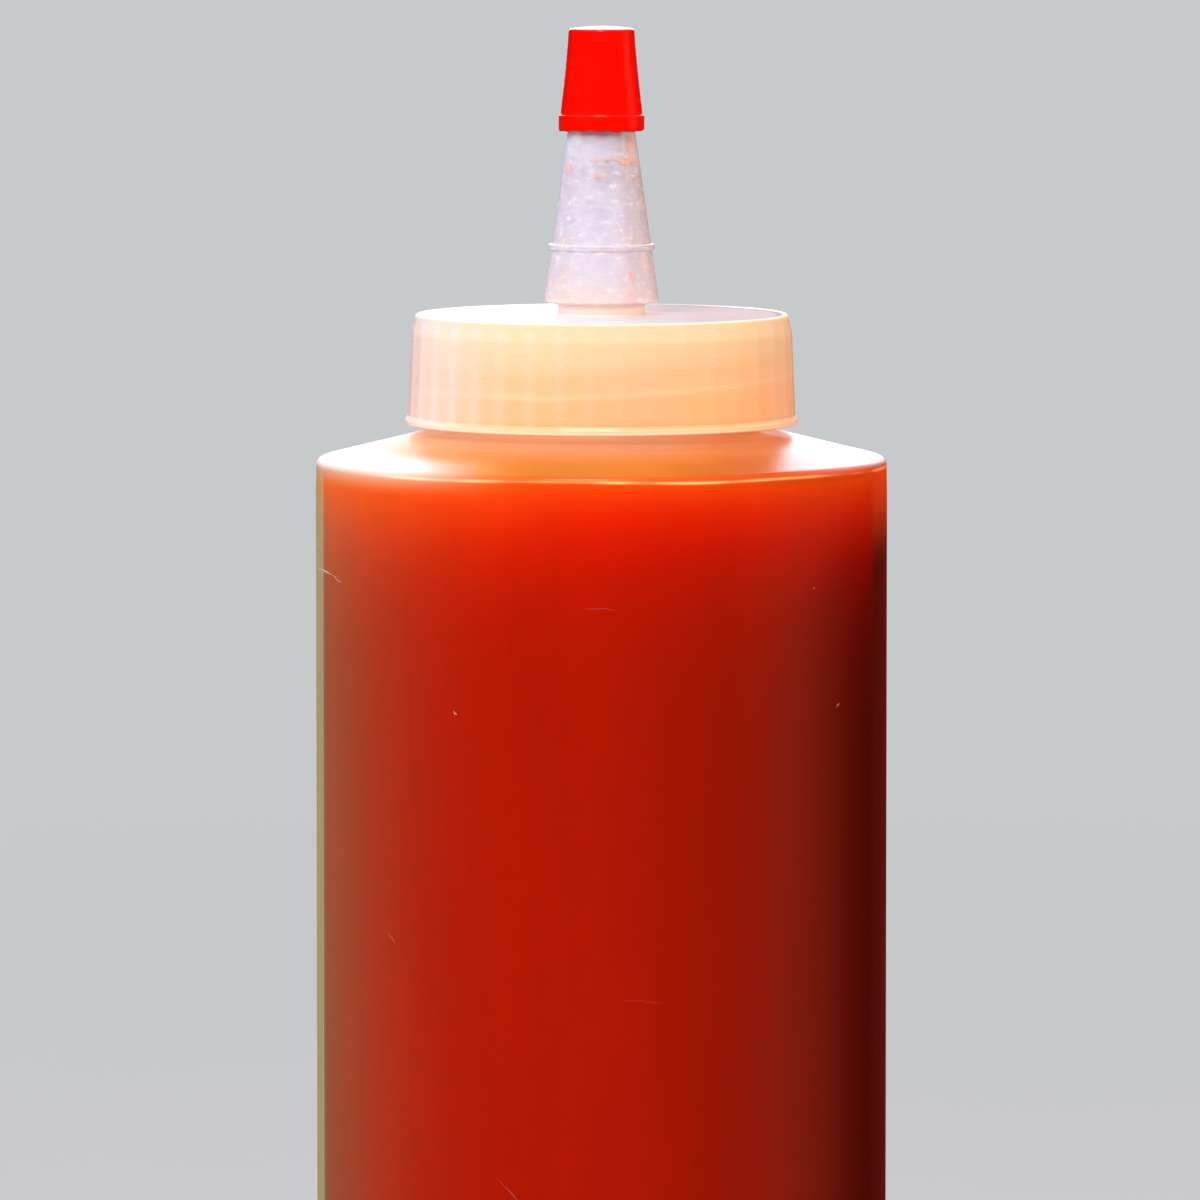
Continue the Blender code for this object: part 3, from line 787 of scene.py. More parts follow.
def cap_material(finish, cap, b):
    """Milky cap: peach over the sauce, paler where light comes in, which is painted light, and a thinner,
    lilac-white spout.

    The ribs are paler streaks that show on the lit side, painted light, with painted highlights on their round
    tops. The lip has a painted highlight under a line of painted shade. The disc has painted shade on the right
    and in the groove inside its raised edge, darker streaky patches painted for its reflections, and a painted
    highlight along that edge. The spout has painted shade on the right and low on the cone, painted highlights on
    the cone, painted light in the undercut and under the tip, and two painted rings of light in the undercut. The
    neck's thread shows through as a light helix with a darker band above it. The helix's height at an angle is
    the thread's known height plus the pitch times the share of a turn.
    """
    material, t = new_material("milky_cap")
    x, y, height = t.axes()
    skirt_r, disc_r, foot_r, foot = cap.skirt_radius, cap.disc_radius, cap.foot_radius, cap.foot_height
    risen = height - cap.top
    tone, rough, normal = plastic_skin(t, grain=900.0, lines=500.0, scuffs=0.04, roughness=0.26, spread=0.06,
                                       relief=0.35)
    at_disc = height.ramp(cap.top - 0.5 * MM, cap.top - 0.05 * MM)

    turns = (y.math("ARCTAN2", x) - b.thread_angle) / FULL_TURN
    above = height - (turns * b.pitch + b.thread_height)
    above = above - x.ramp(-0.2 * skirt_r, -0.95 * skirt_r, 0.0, 0.9 * MM)
    above = above - (above / b.pitch).math("ROUND") * b.pitch
    threaded = (height.ramp(b.thread_low, b.thread_low + 1.5 * MM)
                * height.ramp(b.thread_high + 1.2 * MM, b.thread_high - 0.6 * MM))
    upper = height.ramp(cap.bottom + 2.0 * MM, cap.top - 1.5 * MM)
    # Painted light: the skirt is paler towards the lit left and on the ribs there; it is also a little paler on
    # every rib and at the right edge.
    lit = x.ramp(0.35 * skirt_r, -1.02 * skirt_r)
    pale = lit ** 5.0 * 0.6 + t.attribute("rib") * (lit * 0.22 + 0.03)
    pale = pale + x.ramp(0.75 * skirt_r, 1.0 * skirt_r, 0.0, 0.3)
    skirt = t.coats(
        t.mix(upper * t.noise(110.0, 1.0, 0.55).ramp(0.25, 0.75, 0.88, 1.08), finish.cap_low, finish.cap_high),
        (above.bell(0.32 * MM) * threaded * 0.5, finish.cap_thread),
        ((above - 1.75 * MM).bell(0.7 * MM) * threaded * 0.4, finish.cap_low),
        # Painted shade on the line above the lip, and a painted highlight along the lip.
        ((height - (cap.bottom + cap.lip_height)).bell(0.4 * MM) * 0.7, finish.lip_shade),
        ((height - (cap.bottom + 0.5 * cap.lip_height - 0.32 * MM)).bell(0.4 * MM) * 0.85, finish.cap_lip),
        ((pale + t.attribute("rib_top_highlight") * (lit * 0.35 + 0.2)).clamped(), finish.cap_pale),
    )

    out = (x * x + y * y).math("SQRT")
    on_disc = at_disc * out.ramp(disc_r + 0.1 * MM, disc_r - 0.3 * MM)
    inset = out - (disc_r - 0.9 * MM)
    # The disc: painted shade on the right, darker streaky patches painted for its reflections, painted shade in
    # the groove inside the raised edge and a painted highlight along that edge.
    disc = t.coats(
        t.mix(x.ramp(-0.1 * disc_r, 0.6 * disc_r), finish.cap_disc, finish.cap_disc_dark),
        (t.noise(420.0, 1.0, 0.6, (0.35, 1.0, 1.0)).ramp(0.45, 0.7) * 0.35, finish.disc_ripple),
        (inset.bell(0.3 * MM) * x.ramp(-0.2 * disc_r, 0.6 * disc_r, 0.25, 0.8), finish.disc_groove),
        (inset.ramp(0.35 * MM, 0.5 * MM), finish.disc_edge),
    )

    on_spout = out.ramp(foot_r + 1.2 * MM, foot_r + 0.3 * MM) * risen.ramp(-0.05 * MM, 0.35 * MM)
    warm = (risen.ramp(1.2 * MM, 4.0 * MM, 0.9, 0.0) + x.ramp(0.25 * foot_r, 0.9 * foot_r, 0.0, 0.25)).clamped()
    spots = t.noise(850.0, 2.0, 0.55, (1.0, 1.0, 2.0))
    patch = t.noise(420.0, 1.0, 0.6, (1.0, 1.0, 1.3))
    sides = x.math("ABSOLUTE").ramp(0.35 * foot_r, 0.9 * foot_r, 0.25, 0.8)
    on_cone = risen.ramp(foot - 0.2 * MM, foot + 0.3 * MM)
    # The spout: painted shade on the right and low on the cone, random darker mottling, painted highlights on the
    # cone, painted light in the undercut and under the tip, and two painted rings of light in the undercut.
    spout = t.coats(
        t.mix(warm, finish.spout, finish.spout_foot),
        (x.ramp(0.2 * foot_r, 0.75 * foot_r, 0.0, 0.7), finish.spout_shade),
        (spots.ramp(0.49, 0.68, 0.0, 0.35), finish.spout_spots),
        (patch.ramp(0.5, 0.68) * sides, finish.spout_foot),
        (spots.ramp(0.44, 0.26, 0.0, 0.75) * on_cone, finish.spout_shine),
        (risen.ramp(foot - 0.3 * MM, foot - 0.5 * MM), finish.spout_neck),
        (risen.ramp(14.5 * MM, 18.0 * MM, 0.0, 0.5), finish.spout_top),
        (risen.ramp(7.0 * MM, 3.5 * MM, 0.0, 0.3), finish.spout_low),
        *(((risen - ring * MM).bell(0.11 * MM) * share, finish.neck_ring)
          for ring, share in ((0.30, 0.25), (0.85, 0.35))),
    )
    base = t.toned(t.coats(skirt, (on_disc, disc), (on_spout, spout)), tone)

    facing = t.facing()
    thin = facing ** 2.0 * 0.4 + finish.spout_cover
    see_through = on_spout * risen.ramp(0.9 * MM, 1.6 * MM)
    cover = (see_through * (thin - finish.cap_cover) + finish.cap_cover).clamped()
    milk = t.plastic(base, rough, Specular_IOR_Level=0.0, Normal=normal)
    dull = at_disc * risen.ramp(0.3 * MM, 0.1 * MM) * x.ramp(-0.3 * disc_r, 0.4 * disc_r, 0.25, 0.41)
    mirror = gloss_share(facing, face_on=0.02, edge_on=dull * -1.0 + 0.45)
    film = t.film(lets_lamps_through(t, cover, share=0.7), milk)
    return finished(material, t, t.glossed(mirror, film, rough, normal))


def tip_material(finish, tip):
    """Opaque red plastic with a soft gloss, faint moulding lines and scuffs, and a smoother closed end."""
    material, t = new_material("red_plastic")
    tone, rough, normal = plastic_skin(t, grain=2600.0, lines=900.0, scuffs=0.5, roughness=0.2, spread=0.10,
                                       relief=0.5)
    body = t.plastic(t.toned(finish.red, tone), rough, IOR=1.5, Specular_IOR_Level=0.15, Normal=normal)
    end = tip.top - tip.dome
    on_end = t.axes()[2].ramp(end - 0.2 * MM, end - 0.02 * MM)
    share = t.facing() ** 2.0 * (on_end * 0.6)
    return finished(material, t, t.glossed(share, body, 0.16, normal, (1.0, 0.95, 1.0)))


def droplet_material(finish):
    """Small wet droplets: most are drawn bright white as painted highlights, some greyish as painted shade, and
    some tinged with sauce.
    """
    material, t = new_material("wet_droplets")
    cloud = t.noise(600.0, 2.0, 0.5)
    tinged = t.noise(350.0, 1.0, 0.5).ramp(0.60, 0.72, 0.0, 0.6)
    base = t.mix(cloud.ramp(0.42, 0.62), finish.droplet, finish.droplet_grey)
    wet = t.plastic(t.mix(tinged, base, finish.droplet_tinged), 0.15, IOR=1.35)
    return finished(material, t, t.film(cloud.ramp(0.3, 0.7, 0.55, 0.85), wet))


def smear_material(finish):
    """Thin sauce on plastic: orange where it is thin, redder where it is thick, and fading out at its rim."""
    material, t = new_material("thin_sauce")
    cloud = t.noise(900.0, 3.0, 0.6)
    base = t.mix(cloud.ramp(0.3, 0.7, 0.0, 0.35), finish.smear, finish.smear_thick)
    cover = cloud.ramp(0.25, 0.65, 0.55, 1.0) * t.attribute("depth").ramp(0.03, 0.6)
    wet = t.plastic(base, cloud.ramp(0.3, 0.7, 0.25, 0.4), Specular_IOR_Level=0.1)
    return finished(material, t, t.film(cover, wet))


def scratch_material(finish):
    """Whitened plastic along a scratch, as strong as its attribute says, broken up by a fine noise."""
    material, t = new_material("scratched_polyethylene")
    broken = t.noise(2500.0, 3.0, 0.7)
    cover = (t.attribute("strength") * broken.ramp(0.3, 0.6, 0.4, 1.0)).clamped()
    white = t.plastic(t.mix(broken, finish.scratch, finish.scratch_white), broken.ramp(0.3, 0.7, 0.4, 0.6))
    return finished(material, t, t.film(cover, white))


# Pieces

def bottle_skin(b, wall, neck_wall, top, top_fillet):
    """Corners of the bottle's surface set in by its wall, from the neck's top down to the axis."""
    slope = math.atan(b.shoulder_rise)
    neck = b.neck_radius - neck_wall
    side = b.radius - wall
    lift = b.shoulder_height - wall / math.cos(slope)
    root = lift + (b.radius - neck) * b.shoulder_rise
    edge = lift + wall * b.shoulder_rise
    return [
        (neck, top, top_fillet),
        (neck, root, b.neck_fillet),
        (side, edge, max(b.shoulder_fillet - wall, 0.1 * MM)),
        (side, wall, b.base_fillet - wall),
        (b.ring_inner - wall, wall, 0.4 * MM),
        (b.ring_inner - 1.0 * MM - wall, 1.0 * MM + wall, 0.8 * MM),
        (0.0, b.push_up + wall, 0.0),
    ]


def seam_angles(count, radius):
    """Even angles round the bottle, with close ones added where the parting line runs at +X and -X."""
    near = np.array((-0.6, -0.36, -0.2, -0.09, 0.09, 0.2, 0.36, 0.6)) * MM / radius
    return np.unique(np.concatenate((all_round(count), near % FULL_TURN, near + math.pi)))


def bottle_shape(b):
    """Changes to the turned bottle: parting line, pinch-off under the base, and the thread.

    The parting line is a bell curve of the way round from +X and -X. The thread's bead is a circle round a
    helix, so it stands out by the root of bead squared less the squared height from the helix, and it thins
    out over a fifth of a turn at each end.
    """
    def shape(radius, height, around):
        side = np.abs(turn_gap(2.0 * around, 0.0)) / 2.0 * b.radius
        ridge = np.exp(-(side / b.seam_width) ** 2)
        ridge = ridge * smooth_step(b.shoulder_height - 1.0 * MM, b.shoulder_height - 3.0 * MM, height)
        on_wall = radius > b.body_radius - 0.01 * MM
        radius = radius + np.where(on_wall, b.seam * ridge, 0.0)
        under = (height < b.push_up + 0.2 * b.wall) & (radius < b.ring_inner - 1.5 * MM)
        across = radius * np.sin(around)
        pinch = b.pinch * np.exp(-(across / b.pinch_width) ** 2)
        pinch = pinch * (1.0 - smooth_step(b.pinch_reach - 2.5 * MM, b.pinch_reach, radius))
        height = height - np.where(under, pinch, 0.0)
        on_neck = (np.abs(radius - b.neck_radius) < 1e-7) & (height > b.thread_low - 2.0 * b.bead)
        turns = (around - b.thread_angle) / FULL_TURN
        nearest = np.round((height - b.thread_height) / b.pitch - turns)
        helix = b.thread_height + (turns + nearest) * b.pitch
        run_out = (smooth_step(b.thread_low, b.thread_low + b.pitch / 5.0, helix)
                   * smooth_step(b.thread_high, b.thread_high - b.pitch / 5.0, helix))
        stand = np.sqrt(np.maximum(b.bead ** 2 - (height - helix) ** 2, 0.0)) * run_out
        radius = radius + np.where(on_neck, stand, 0.0)
        return radius, height
    return shape


def spout_radius(cap, height):
    """The spout's outer radius at a height above the disc: it falls evenly from the foot up."""
    return cap.foot_radius - cap.taper * (height - cap.foot_height)


def cap_corners(cap):
    """The cap's closed outline, from the spout's end down its outside and back up inside."""
    low = cap.ring_height - cap.ring_thickness / 2.0
    high = cap.ring_height + cap.ring_thickness / 2.0
    ring = spout_radius(cap, cap.ring_height) + cap.ring_proud
    ceiling = cap.top - cap.disc
    bore_end = spout_radius(cap, cap.spout_end) - cap.wall
    spout = [
        (spout_radius(cap, cap.spout_end), cap.spout_end, 0.3 * MM),
        (spout_radius(cap, high), high, 0.12 * MM),
        (ring, high, 0.15 * MM),
        (ring, low, 0.15 * MM),
        (spout_radius(cap, low), low, 0.12 * MM),
        (cap.foot_radius, cap.foot_height, 0.2 * MM),
        (cap.neck_radius, cap.foot_height - cap.undercut, 0.3 * MM),
        (cap.neck_radius, 0.0, 0.3 * MM),
    ]
    rest = [
        (cap.disc_radius - cap.rim_width, cap.top, 0.2 * MM),
        (cap.disc_radius - cap.rim_width / 2.0, cap.top + cap.rim_height, 0.15 * MM),
        (cap.disc_radius, cap.top, 0.3 * MM),
        (cap.shoulder_radius, cap.top - cap.shoulder_drop, 2.5 * MM),
        (cap.skirt_radius - 0.05 * MM, cap.bottom + cap.lip_height, 0.3 * MM),
        (cap.lip_radius, cap.bottom + 0.55 * cap.lip_height, 0.12 * MM),
        (cap.lip_radius, cap.bottom, 0.2 * MM),
        (cap.inner_radius, cap.bottom, 0.2 * MM),
        (cap.inner_radius, ceiling, 0.4 * MM),
        (cap.bore, ceiling, 0.0),
        (cap.bore, cap.top + cap.foot_height, 0.5 * MM),
        (bore_end, cap.top + cap.spout_end - 2.0 * cap.wall, 0.3 * MM),
        (cap.hole, cap.top + cap.spout_end - cap.wall, 0.1 * MM),
        (cap.hole, cap.top + cap.spout_end, 0.0),
    ]
    return [(radius, cap.top + height, fillet) for radius, height, fillet in spout] + rest


def rib_bell(cap, around):
    """1 in the middle of each rib and falling to its sides as a bell curve."""
    pitch = FULL_TURN / cap.ribs
    from_rib = ((around - cap.rib_angle + pitch / 2.0) % pitch - pitch / 2.0) * cap.skirt_radius
    return np.exp(-(from_rib / cap.rib_width) ** 2)


def rib_top_height(cap, bell):
    """Height where the ribs end: round tops, lower towards each rib's sides."""
    return cap.top - cap.rib_top - (1.0 - bell) * 0.5 * MM


def cap_shape(cap):
    """Upright round ribs on the skirt's outside, raised from their round tops down into the lip, and
    shallow sink marks on the disc, a sum of sines across it that fades at its edge and its middle."""
    def shape(radius, height, around):
        bell = rib_bell(cap, around)
        rib_top = rib_top_height(cap, bell)
        raised = smooth_step(rib_top, rib_top - 0.5 * MM, height)
        raised = raised * smooth_step(cap.bottom + 0.3 * cap.lip_height, cap.bottom + cap.lip_height, height)
        outside = radius > cap.disc_radius + 0.02 * MM
        x, y = radius * np.cos(around) / MM, radius * np.sin(around) / MM
        waves = (np.sin(0.55 * x + 0.9 * y + 1.0) + 0.7 * np.sin(1.3 * y - 0.35 * x)
                 + 0.4 * np.sin(1.1 * x + 0.3 * y + 2.0))
        spread = smooth_step(cap.foot_radius, 1.6 * cap.foot_radius, radius)
        spread = spread * smooth_step(cap.disc_radius - 0.6 * MM, cap.disc_radius - 3.0 * MM, radius)
        uneven = 0.25 + 0.75 * smooth_step(-2.0, 8.0, x)
        on_disc = np.abs(height - cap.top) < 0.01 * MM
        height = height + np.where(on_disc, cap.disc_wave * (waves - 1.0) * spread * uneven, 0.0)
        return radius + np.where(outside, cap.rib_proud * bell * raised, 0.0), height
    return shape


def rib_masks(cap, points):
    """Attributes for the skirt: where the ribs run, and the painted highlights on their round tops."""
    radius = np.hypot(points[:, 0], points[:, 1])
    bell = rib_bell(cap, np.arctan2(points[:, 1], points[:, 0]))
    outside = (radius > cap.shoulder_radius - 0.4 * MM).astype(float)
    low = smooth_step(cap.bottom + 0.4 * cap.lip_height, cap.bottom + 1.2 * cap.lip_height, points[:, 2])
    top = cap.top - cap.rib_top
    rib = bell * outside * low * smooth_step(top + 0.1 * MM, top - 0.5 * MM, points[:, 2])
    # Painted highlights: bright spots at the ribs' round tops.
    end = bell ** 2 * outside * np.exp(-((points[:, 2] - top + 0.35 * MM) / (0.32 * MM)) ** 2)
    return {"rib": rib, "rib_top_highlight": end}


def tip_shape(tip):
    """An uneven mouth, scalloped by the size of a sine round the edge with a slower sine on top, and three
    faint rings on the left side."""
    def shape(radius, height, around):
        near = smooth_step(tip.bottom + 0.6 * MM, tip.bottom, height)
        wave = 1.0 - np.abs(np.sin(7.0 * around + 0.5)) ** 0.7
        wave = 0.75 * wave + 0.25 * (0.5 + 0.5 * np.sin(3.0 * around + 1.0))
        height = height + tip.wave * near * np.clip(wave, 0.0, 1.0)
        outside = radius > tip.top_radius
        left = 0.5 - 0.5 * np.cos(around)
        for drop in (4.45, 5.1, 6.1):
            groove = np.exp(-((height - (tip.top - drop * MM)) / tip.groove_width) ** 2)
            radius = radius - np.where(outside, tip.groove * groove * left, 0.0)
        return radius, height
    return shape


def tip_corners(tip, cap):
    """The tip's outline, from the middle of its domed end down its outside and back up inside.

    The sides' radius grows with a power of the share of the way down, and the dome is a parabola.
    """
    share = np.linspace(0.0, 1.0, 14)
    flange_top = tip.bottom + tip.flange_height
    edge = tip.top - tip.dome
    radius = tip.top_radius + (tip.low_radius - tip.top_radius) * share ** tip.flare
    height = edge - (edge - flange_top) * share
    flare = [(r, z, 0.0) for r, z in zip(radius[1:], height[1:])]
    across = np.linspace(0.0, 0.88, 7)
    dome = [(tip.top_radius * r, tip.top - tip.dome * r ** 2, 0.0) for r in across]
    mouth = spout_radius(cap, tip.bottom - cap.top) + tip.play
    end = spout_radius(cap, cap.spout_end) + tip.play
    return dome + [(tip.top_radius, edge + 0.02 * MM, 0.35 * MM)] + flare + [
        (tip.flange_radius, flange_top - 0.1 * MM, 0.12 * MM),
        (tip.flange_radius, tip.bottom, 0.18 * MM),
        (mouth, tip.bottom, 0.1 * MM),
        (end, tip.top - tip.top_wall, 0.2 * MM),
        (0.0, tip.top - tip.top_wall, 0.0),
    ]


def spout_places(cap, around, height):
    """Points on the spout's inner wall at angles and heights, and the normals that point outwards."""
    places = on_circles(spout_radius(cap, height) - cap.wall, around, cap.top + height)
    normals = np.stack((np.cos(around), np.sin(around), np.full(len(around), cap.taper)), 1)
    return places, normals


def film_patch(cap, start, end, low, high, wobble, seed):
    """A thin patch of sauce on the spout's inner wall, between two angles and two heights.

    Its edges wander by sines. It reaches into the wall, and thins to nothing at its rim: each face stands
    off the wall by its depth times the product of two half sine waves.
    """
    draw = np.random.default_rng(seed)
    u, v = np.meshgrid(np.linspace(0.0, 1.0, 60), np.linspace(0.0, 1.0, 9), indexing="ij")
    phase = draw.uniform(0.0, FULL_TURN, 4)
    middle = wobble * (np.sin(7.0 * u + phase[0]) + 0.6 * np.sin(17.0 * u + phase[1]))
    width = 0.62 + 0.25 * np.sin(9.0 * u + phase[2]) + 0.13 * np.sin(23.0 * u + phase[3])
    width = width * np.sin(math.pi * u) ** 0.4
    height = (low + high) / 2.0 + middle + (v - 0.5) * (high - low) * width
    swell = np.clip(np.sin(math.pi * u), 0.0, 1.0) ** 0.5 * np.clip(np.sin(math.pi * v), 0.0, 1.0)
    wall = spout_radius(cap, height) - cap.wall + 0.25 * MM
    points, faces = on_wall(start + (end - start) * u, cap.top + height, wall, swell, outer=0.45 * MM,
                            inner=-0.32 * MM)
    return points, faces, np.tile(swell.ravel(), 2)


# Thin sauce left in the spout: two degrees from +X, two heights above the disc and the wobble in mm.
SMEARS = (
    (-114.0, -50.0, 15.95, 16.55, 0.07),
    (-58.0, -8.0, 15.2, 16.9, 0.14),
    (-37.0, 0.0, 16.4, 19.3, 0.12),
    (-108.0, -80.0, 14.25, 14.8, 0.05),
    (-88.0, -76.0, 14.95, 15.35, 0.05),
    (172.0, 208.0, 14.2, 15.9, 0.10),
    (-54.0, -47.0, 3.6, 4.8, 0.06),
    (60.0, 118.0, 6.0, 6.6, 0.12),
    (20.0, 70.0, 15.4, 16.4, 0.15),
)

# Marks of handling: two degrees from the front to the right, two heights and half the width in mm, and how
# strong the mark is.
MARKS = (
    (-86.0, -70.0, 134.3, 134.15, 0.11, 0.85),
    (-70.0, -64.5, 134.1, 133.4, 0.06, 0.35),
    (-86.0, -80.5, 136.6, 136.5, 0.09, 0.7),
    (-86.0, -83.0, 115.4, 115.4, 0.07, 0.4),
    (-86.0, -79.0, 108.7, 108.5, 0.09, 0.6),
    (-86.0, -82.0, 107.8, 107.6, 0.12, 0.8),
    (-84.0, -80.0, 110.1, 109.8, 0.06, 0.35),
    (-3.5, 3.0, 132.2, 132.05, 0.05, 0.03),
    (-30.6, -29.9, 121.2, 120.9, 0.08, 0.5),
    (54.6, 55.4, 121.0, 121.3, 0.08, 0.5),
    (47.0, 47.6, 133.4, 133.6, 0.06, 0.2),
    (-21.0, -14.0, 73.4, 69.6, 0.05, 0.05),
    (4.0, 13.0, 92.0, 91.6, 0.03, 0.03),
    (-48.0, -45.5, 98.0, 96.8, 0.04, 0.07),
    (130.0, 146.0, 118.0, 117.2, 0.05, 0.2),
    (188.0, 191.0, 88.0, 85.5, 0.06, 0.25),
    (95.0, 99.0, 60.0, 59.7, 0.08, 0.4),
    (-130.0, -118.0, 76.0, 75.0, 0.04, 0.2),
)


def scratch(b, start, end, low, high, half, strong):
    """A sliver a hair above the body: a lens along its line, as wide as a half sine wave."""
    u, v = np.meshgrid(np.linspace(0.0, 1.0, 25), np.linspace(-1.0, 1.0, 5), indexing="ij")
    around = np.radians(start + (end - start) * u - 90.0)
    run = math.radians(end - start) * b.radius
    rise = (high - low) * MM
    length = math.hypot(run, rise)
    width = half * MM * np.sin(math.pi * np.clip(u, 0.02, 0.98)) ** 0.6 * v
    around = around - width * rise / length / b.radius
    height = (low + (high - low) * u) * MM + width * abs(run) / length
    height = height + 0.06 * MM * np.sin(9.0 * u + start)
    swell = np.sin(math.pi * u) * (1.0 - v ** 2)
    points, faces = on_wall(around, height, b.body_radius - 0.01 * MM, swell, outer=0.035 * MM,
                            inner=-0.05 * MM)
    return points, faces, np.full(len(points), strong)


# Stage

def bearing(azimuth, elevation):
    """Unit vector from the bottle, its azimuth counted from the front to the right."""
    level = math.cos(elevation)
    return Vector((level * math.sin(azimuth), -level * math.cos(azimuth), math.sin(elevation)))


def aim(item, target):
    """Turn a lamp or camera so that it looks along its -Z at the target."""
    direction = Vector(target) - item.location
    item.rotation_euler = direction.to_track_quat("-Z", "Y").to_euler()


def area_light(name, azimuth, elevation, distance, size, power, tint, lit=()):
    """A soft lamp that mirrors don't show; lit names the pieces it is kept to, if not all."""
    target = Vector((0.0, 0.0, AIM_HEIGHT))
    light = bpy.data.lights.new(name, "AREA")
    light.shape = "RECTANGLE"
    light.size, light.size_y = size
    light.energy = power
    light.color = tint
    item = new_object(name, light)
    item.location = target + bearing(azimuth, elevation) * distance
    item.visible_glossy = False
    item.visible_camera = False
    aim(item, target)
    if lit:
        kept = bpy.data.collections.new("lit_by_" + name)
        for piece in lit:
            kept.objects.link(bpy.data.objects[piece])
        item.light_linking.receiver_collection = kept
    return item


def build_world(stage):
    """A bright window behind, a soft light above, dim in front, and an even pale backdrop for the camera."""
    world = bpy.data.worlds.new("studio")
    bpy.context.scene.world = world
    world.use_nodes = True
    world.node_tree.nodes.clear()
    t = Tree(world.node_tree)
    t.where = t.add("TexCoord").output("Generated")
    x, y, z = t.axes()
    window = z.ramp(0.04, 0.28, stage.window_low, stage.window_high) * z.ramp(0.0, 0.04) * z.ramp(0.72, 0.60)
    window = window * x.math("ABSOLUTE").ramp(0.42, 0.16) * y.ramp(0.3, 0.5)
    room = z.ramp(0.45, 0.95) * stage.zenith + z.ramp(-0.05, 0.2) * stage.room
    tint = t.mix(t.ray("Glossy"), stage.light, stage.mirrored)
    light = t.add("Background", {"Color": tint, "Strength": window + room})
    back = t.add("Background", {"Color": stage.sky, "Strength": 1.0})
    t.add("OutputWorld", {"Surface": t.over(t.ray("Camera"), light, back)})


def build_floor(stage):
    """A wide flat floor of one quad, pale round the bottle and melting into the backdrop."""
    x, y = np.meshgrid((-FLOOR_HALF, FLOOR_HALF), (FLOOR_HALF, -FLOOR_HALF), indexing="ij")
    points = np.stack((x, y, np.full(x.shape, FLOOR_HEIGHT)), -1).reshape(-1, 3)
    mesh = bpy.data.meshes.new("studio_floor")
    mesh.from_pydata(points.tolist(), [], grid_faces(2, 2, False, False).tolist())
    material, t = new_material("studio_floor")
    pale = t.mix(t.noise(18.0, 2.0, 0.6).ramp(0.2, 0.8, 0.0, 0.06), stage.floor, stage.floor_grain)
    away = t.add("VectorMath", {0: t.where}, operation="LENGTH").output("Value")
    far = away.ramp(stage.floor_radius, 4.0 * stage.floor_radius)
    sweep = t.over(far, t.plastic(pale, 0.9), t.add("Emission", {"Color": stage.sky}))
    dim = t.plastic(stage.floor_dim, 0.9)
    mesh.materials.append(finished(material, t, t.over(t.ray("Camera"), dim, sweep)))
    new_object("studio_floor", mesh)


def build_camera(stage):
    """A camera whose frame has the asked width at the bottle: focal length = sensor x distance / width."""
    camera = bpy.data.cameras.new("camera")
    camera.sensor_fit = "HORIZONTAL"
    camera.sensor_width = stage.sensor
    camera.lens = stage.sensor * stage.distance / stage.frame_width
    camera.clip_end = 100.0
    item = new_object("camera", camera)
    centre = (stage.centre_offset, 0.0, stage.centre_height)
    item.location = (centre[0], -stage.distance * math.cos(stage.elevation),
                     centre[2] + stage.distance * math.sin(stage.elevation))
    aim(item, centre)
    bpy.context.scene.camera = item


def build_lights(stage):
    """The key light for all, lamps kept to the cap or to the body, and one that only makes highlights."""
    body = ("milky_bottle", "sauce_fill")
    spout = ("milky_spout_cap", "spout_droplets", "spout_smears")
    area_light("key_light", stage.key_azimuth, stage.key_elevation, 2.5, (1.1, 1.1), stage.key_power,
               (1.0, 0.985, 0.97))
    for name, azimuth, elevation, distance, side, power, tint, lit in (
            ("right_light", 95.0, 10.0, 1.5, 0.7, stage.right_power, (1.0, 0.76, 0.52), (*spout, "red_tip")),
            ("left_light", -128.0, 12.0, 1.5, 0.7, stage.left_power, (1.0, 1.1, 1.7), spout),
            ("back_light", 168.0, 8.0, 2.0, 0.9, stage.back_power, (1.0, 0.98, 0.96), body)):
        area_light(name, math.radians(azimuth), math.radians(elevation), distance, (side, side), power, tint, lit)
    spark = area_light("highlight_light", math.radians(-10.0), math.radians(62.0), 1.5, (0.5, 0.2),
                       stage.spark_power, (1.0, 0.98, 0.92))
    spark.visible_glossy = True
    spark.visible_diffuse = False


# Operators

class SQUEEZE_OT_bottle(bpy.types.Operator):
    """Blow the milky bottle with its shoulder, thread, parting line and pushed-up base"""
    bl_idname = "squeeze.bottle"
    bl_label = "Bottle"

    def execute(self, context):
        b = context.scene.squeeze_bottle
        inside = arc_path(bottle_skin(b, b.wall, b.neck_wall, b.neck_top, 0.0), step=1.6 * MM)[::-1]
        rim = [(b.neck_radius - b.neck_wall, b.neck_top, 0.0)]
        corners = bottle_skin(b, 0.0, 0.0, b.neck_top, 0.45 * MM)
        side = b.body_radius
        corners[2] = (side, corners[2][1] + (b.radius - side) * b.shoulder_rise, b.shoulder_fillet)
        corners[3] = (side, corners[3][1], corners[3][2])
        outside = arc_path(rim + corners, step=0.35 * MM)[1:]
        walls = [(inside, side - b.wall), (outside, side)]
        outline = np.concatenate([thinned(half, half[:, 0] > radius - 0.01 * MM) for half, radius in walls])
        points, faces = turned(outline, seam_angles(b.columns, b.radius), bottle_shape(b))
        material = bottle_material(context.scene.squeeze_finish, b)
        add_piece("milky_bottle", points, faces, material, ["bottle"])
        return {"FINISHED"}


